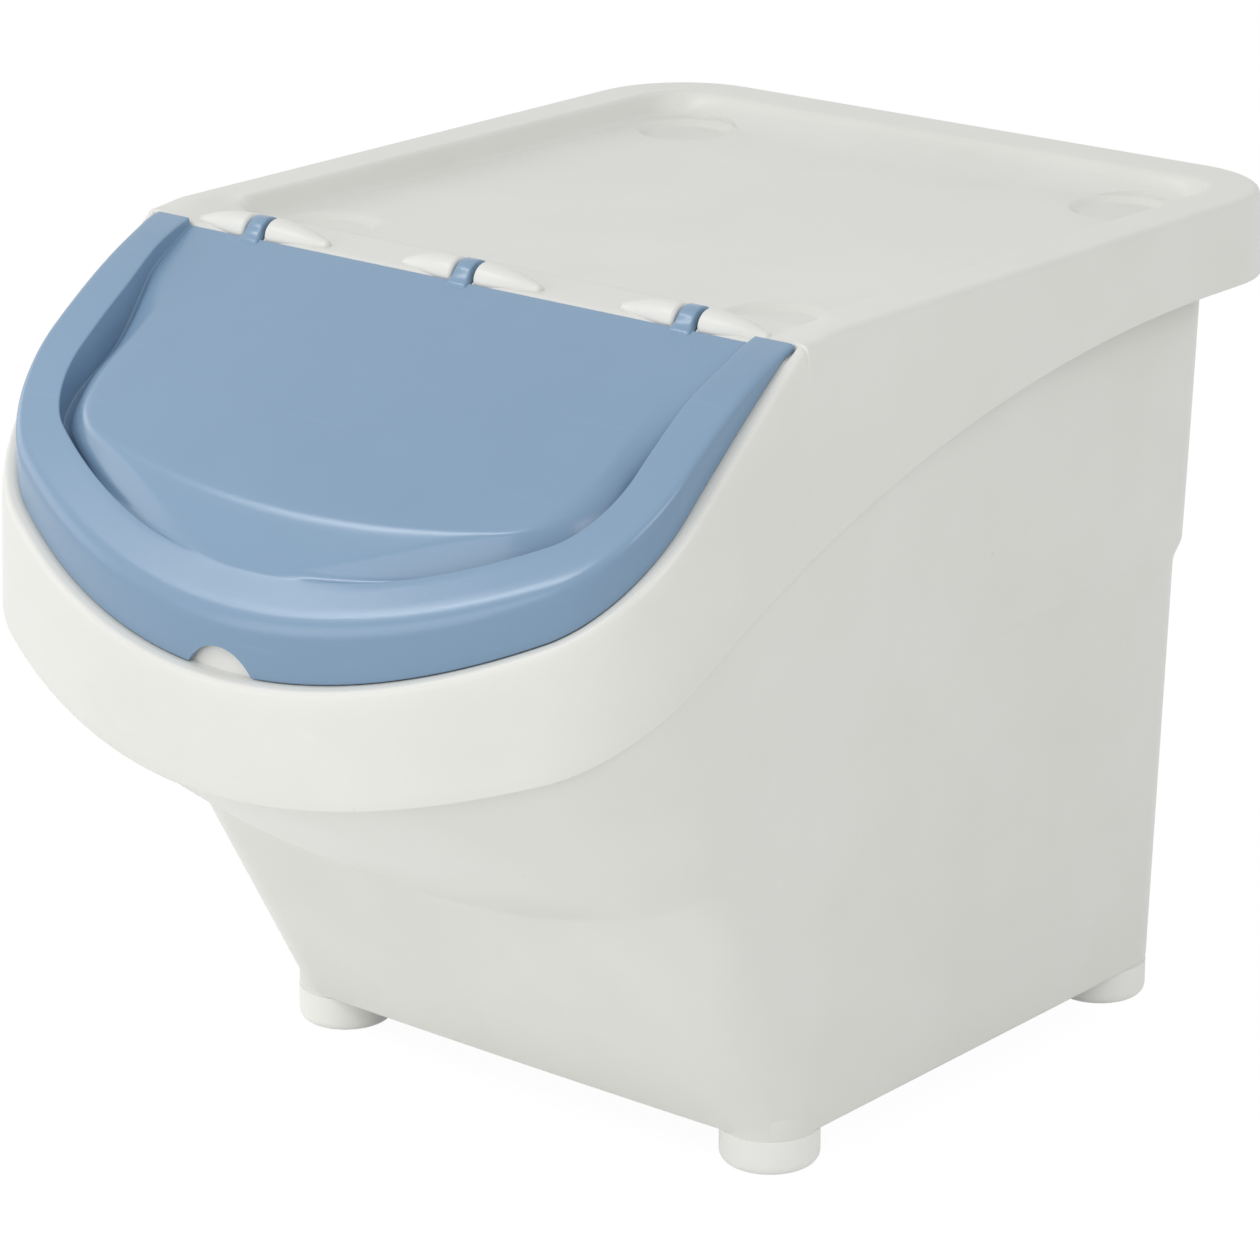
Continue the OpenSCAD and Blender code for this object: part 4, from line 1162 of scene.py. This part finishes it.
fairing = {"radius": 6.1, "endRadius": 2.1, "length": 26.5, "startRound": 1.6, "endRound": 1.7, "swell": 1.1}
cones = []
for side in (-1, 0, 1):
    for hand in (-1, 1):
        x = side * hinge["pitch"] + hand * hinge["slotWidth"] / 2
        fairing.update(turn=(0, hand * pi / 2, 0), place=(x, hinge["axisY"], hinge["axisZ"]))
        cones.append(turnedPiece("cone", fairing, "white_shell"))
fairings = joinPieces("hingeFairings", cones)
print("fairings turned:", len(cones))


# hooks: a rounded strip swept from the flap's rear edge over each pin
def hookTree():
    tree, given = nodeTree("hingeHooks", {
        "Axis": "Vector", "Tail": "Vector", "Path Radius": "Float", "Start Angle": "Float", "Sweep": "Float",
        "Tail Share": "Float", "Width": "Float", "Thickness": "Float", "Edge": "Float", "Pitch": "Float",
        "Waist": "Float", "Flare": "Float", "Foot Drop": "Float", "Foot Fade": "Float", "Foot Front": "Float",
        "Count": "Int", "Material": "Material"})
    make = partial(Wire.make, tree)
    path = make("GeometryNodeResampleCurve", {"Curve": make("GeometryNodeCurvePrimitiveLine"), "Count": 48})
    share = make("GeometryNodeSplineParameter")
    tail = (share.maths("DIVIDE", given["Tail Share"])).clamped()
    bend = ((share - given["Tail Share"]).maths("DIVIDE", 1 - given["Tail Share"])).clamped()
    angle = given["Start Angle"] - given["Sweep"] * bend
    radial = make("ShaderNodeCombineXYZ", {1: given["Path Radius"] * angle.maths("COSINE"),
                                           2: given["Path Radius"] * angle.maths("SINE")})
    left = make("ShaderNodeVectorMath", {"Vector": given["Tail"], "Scale": 1 - tail}, {"operation": "SCALE"})
    spot = make("ShaderNodeVectorMath", {0: radial, 1: left})  # added, as is its default
    curl = make("GeometryNodeSetPosition", {"Geometry": path, "Position": spot})
    strip = make("GeometryNodeCurvePrimitiveQuadrilateral", {
        "Width": given["Width"], "Height": given["Thickness"]})
    soft = make("GeometryNodeFilletCurve", {"Curve": strip, "Radius": given["Edge"], "Count": 5}, {"mode": "POLY"})
    swept = make("GeometryNodeCurveToMesh", {"Curve": curl, "Profile Curve": soft, "Fill Caps": True})
    x, y, z = [make("GeometryNodeInputPosition").part(k) for k in range(3)]
    above = (z + given["Foot Drop"]).maths("MAXIMUM", 0.0)
    foot = above.maths("DIVIDE", given["Foot Fade"] * -1).maths("EXPONENT")  # 1 at the panel
    ahead = (y + given["Foot Front"]).maths("LESS_THAN", 0.0)
    slim = make("ShaderNodeCombineXYZ", {
        0: x * (foot - 1) * given["Waist"], 1: foot * ahead * given["Flare"] * -1})
    hook = make("GeometryNodeSetPosition", {"Geometry": swept, "Offset": slim})
    first = make("ShaderNodeCombineXYZ", {0: given["Pitch"] * -1})
    step = make("ShaderNodeCombineXYZ", {0: given["Pitch"]})
    start = make("ShaderNodeVectorMath", {0: given["Axis"], 1: first})
    places = make("GeometryNodeMeshLine", {"Count": given["Count"], "Start Location": start, "Offset": step})
    row = make("GeometryNodeInstanceOnPoints", {"Points": places, "Instance": hook})
    closeTree(tree, row, given["Material"])
    return tree


hook = {
    "pinGap": 0.06,
    "outerRadius": 6.2,
    "startAngle": 150,
    "sweep": 205,
    "edge": 0.9,
    "tail": 6,
    "tailShare": 0.2,
    "waist": 0.22,  # how much narrower it is above its foot
    "flare": 1.2,
    "footDrop": 0.5,
    "footFade": 1.3,
    "footFront": 3,
}
innerRadius = hinge["pinRadius"] + hook["pinGap"]
hookWall = hook["outerRadius"] - innerRadius
hookMiddle = (hook["outerRadius"] + innerRadius) / 2
startAngle = radians(hook["startAngle"])
hooks = grow("hingeHooks", hookTree(), {
    "Axis": (0, hinge["axisY"] * mm, hinge["axisZ"] * mm),
    "Tail": (0, -sin(startAngle) * hook["tail"] * mm, cos(startAngle) * hook["tail"] * mm),
    "Path Radius": hookMiddle * mm, "Start Angle": startAngle, "Sweep": radians(hook["sweep"]),
    "Tail Share": hook["tailShare"], "Width": hinge["hookWidth"] * mm, "Thickness": hookWall * mm,
    "Edge": hook["edge"] * mm, "Waist": hook["waist"], "Flare": hook["flare"] * mm,
    "Foot Drop": hook["footDrop"] * mm, "Foot Fade": hook["footFade"] * mm, "Foot Front": hook["footFront"] * mm,
    "Pitch": hinge["pitch"] * mm, "Count": 3, "Material": finishes["blue_flap"]})
smoothPiece(hooks)
print("hooks swept:", len(hooks.data.polygons), "faces")

# camera, lamps and floor
view = {
    "place": (1.0932, -1.2951, 0.7263),
    "turn": 40.035,  # degrees round from the front
    "drop": 18.33,
    "roll": -0.171,
    "lens": 141.07,
    "film": 36,
}


def makeCamera():
    turn, drop, roll = (radians(view[k]) for k in ("turn", "drop", "roll"))
    forward = Vector((-sin(turn) * cos(drop), cos(turn) * cos(drop), -sin(drop)))
    right = Vector((cos(turn), sin(turn), 0))
    up = right.cross(forward)
    rightRolled = right * cos(roll) + up * sin(roll)
    upRolled = up * cos(roll) - right * sin(roll)
    camera = inScene("camera", bpy.data.cameras.new("camera"))
    camera.data.lens, camera.data.sensor_width, camera.data.sensor_fit = view["lens"], view["film"], "HORIZONTAL"
    camera.matrix_world = Matrix.Translation(view["place"]) @ Matrix(
        (rightRolled, upRolled, -forward)).transposed().to_4x4()
    bpy.context.scene.camera = camera


lamps = {
    "key": {"place": (-0.772, -1.077, 1.516), "width": 1.2, "height": 0.2, "power": 6.4},
    "front": {"place": (-0.74, -2.02, 0.64), "width": 1.6, "height": 1.0, "power": 8.3},
    "left": {"place": (-2.0, -0.55, 0.62), "width": 1.4, "height": 0.8, "power": 4.0},
    "right": {"place": (1.9, -1.0, 1.5), "width": 1.4, "height": 0.8, "power": 12.0},
}
lampTarget = Vector((0, 0, 0.18))  # the middle of the bin


def makeLamp(name, look):
    light = bpy.data.lights.new(name, "AREA")
    light.shape, light.size, light.size_y, light.energy = "RECTANGLE", look["width"], look["height"], look["power"]
    lamp = inScene(name, light)
    lamp.location = look["place"]
    lamp.rotation_euler = (lampTarget - lamp.location).to_track_quat("-Z", "Y").to_euler()


def whiteBehind(tree):
    # white where the camera, a gloss or a clear surface looks at it, and the plain shader for all other light
    path = {out: Wire(tree, node.outputs[out]) for node in [tree.nodes.new("ShaderNodeLightPath")]
            for out in ("Is Camera Ray", "Is Glossy Ray", "Is Transmission Ray")}
    return path["Is Camera Ray"].maths("MAXIMUM", path["Is Glossy Ray"]).maths("MAXIMUM", path["Is Transmission Ray"])


room = {
    "light": 0.6,
    "floorColour": (250, 250, 249),
    "floorLift": 0.93,  # how far the floor is lifted to white; the rest keeps its shadow
    "floorGlow": 1.03,
    "floorSize": 6.0,
}


def makeRoom():
    world = bpy.data.worlds.new("softRoom")
    bpy.context.scene.world = world
    tree = bareTree(world)
    make = partial(Wire.make, tree)
    soft = make("ShaderNodeBackground", {"Color": (1, 1, 1, 1), "Strength": room["light"]})
    white = make("ShaderNodeBackground", {"Color": (1, 1, 1, 1), "Strength": 1.0})
    both = make("ShaderNodeMixShader", {0: whiteBehind(tree), 1: soft, 2: white})
    make("ShaderNodeOutputWorld", {"Surface": both})

    half = room["floorSize"] / 2
    corners = [(x * half / mm, y * half / mm, 0) for x, y in ((-1, -1), (1, -1), (1, 1), (-1, 1))]
    floor = newPiece("studioFloor", corners, [(0, 1, 2, 3)])
    material = bpy.data.materials.new("floorPaint")
    tree = bareTree(material)
    make = partial(Wire.make, tree)
    paint = make("ShaderNodeBsdfDiffuse", {"Color": linear(room["floorColour"])})
    glow = make("ShaderNodeEmission", {"Color": (1, 1, 1, 1), "Strength": room["floorGlow"]})
    both = make("ShaderNodeMixShader", {0: whiteBehind(tree) * room["floorLift"], 1: paint, 2: glow})
    make("ShaderNodeOutputMaterial", {"Surface": both})
    floor.data.materials.append(material)
    return floor


makeCamera()
for name, look in lamps.items():
    makeLamp(name, look)
studioFloor = makeRoom()
bpy.context.scene.view_settings.view_transform = "Standard"
print("studio set")

# every piece on its body
dressed = [(tubPiece, "tub", "white_shell", ["tub"]), (hoodPiece, "hood", "white_shell", ["hood"]),
           (flapPiece, "flap", "blue_flap", ["flap"]), (fairings, "hood", "white_shell", ["hood"]),
           (hooks, "flap", "blue_flap", ["flap"])]
dressed += [(piece, "tub", "white_foot", [node]) for piece, node in feet]
dressed += [(piece, "hood", "white_pin", [node]) for piece, node in pins]
for piece, body, finish, nodes in dressed:
    piece.data.materials.clear()
    piece.data.materials.append(finishes[finish])
    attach(piece, body)
    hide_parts(*nodes)
    print(piece.name, "rides on", body)
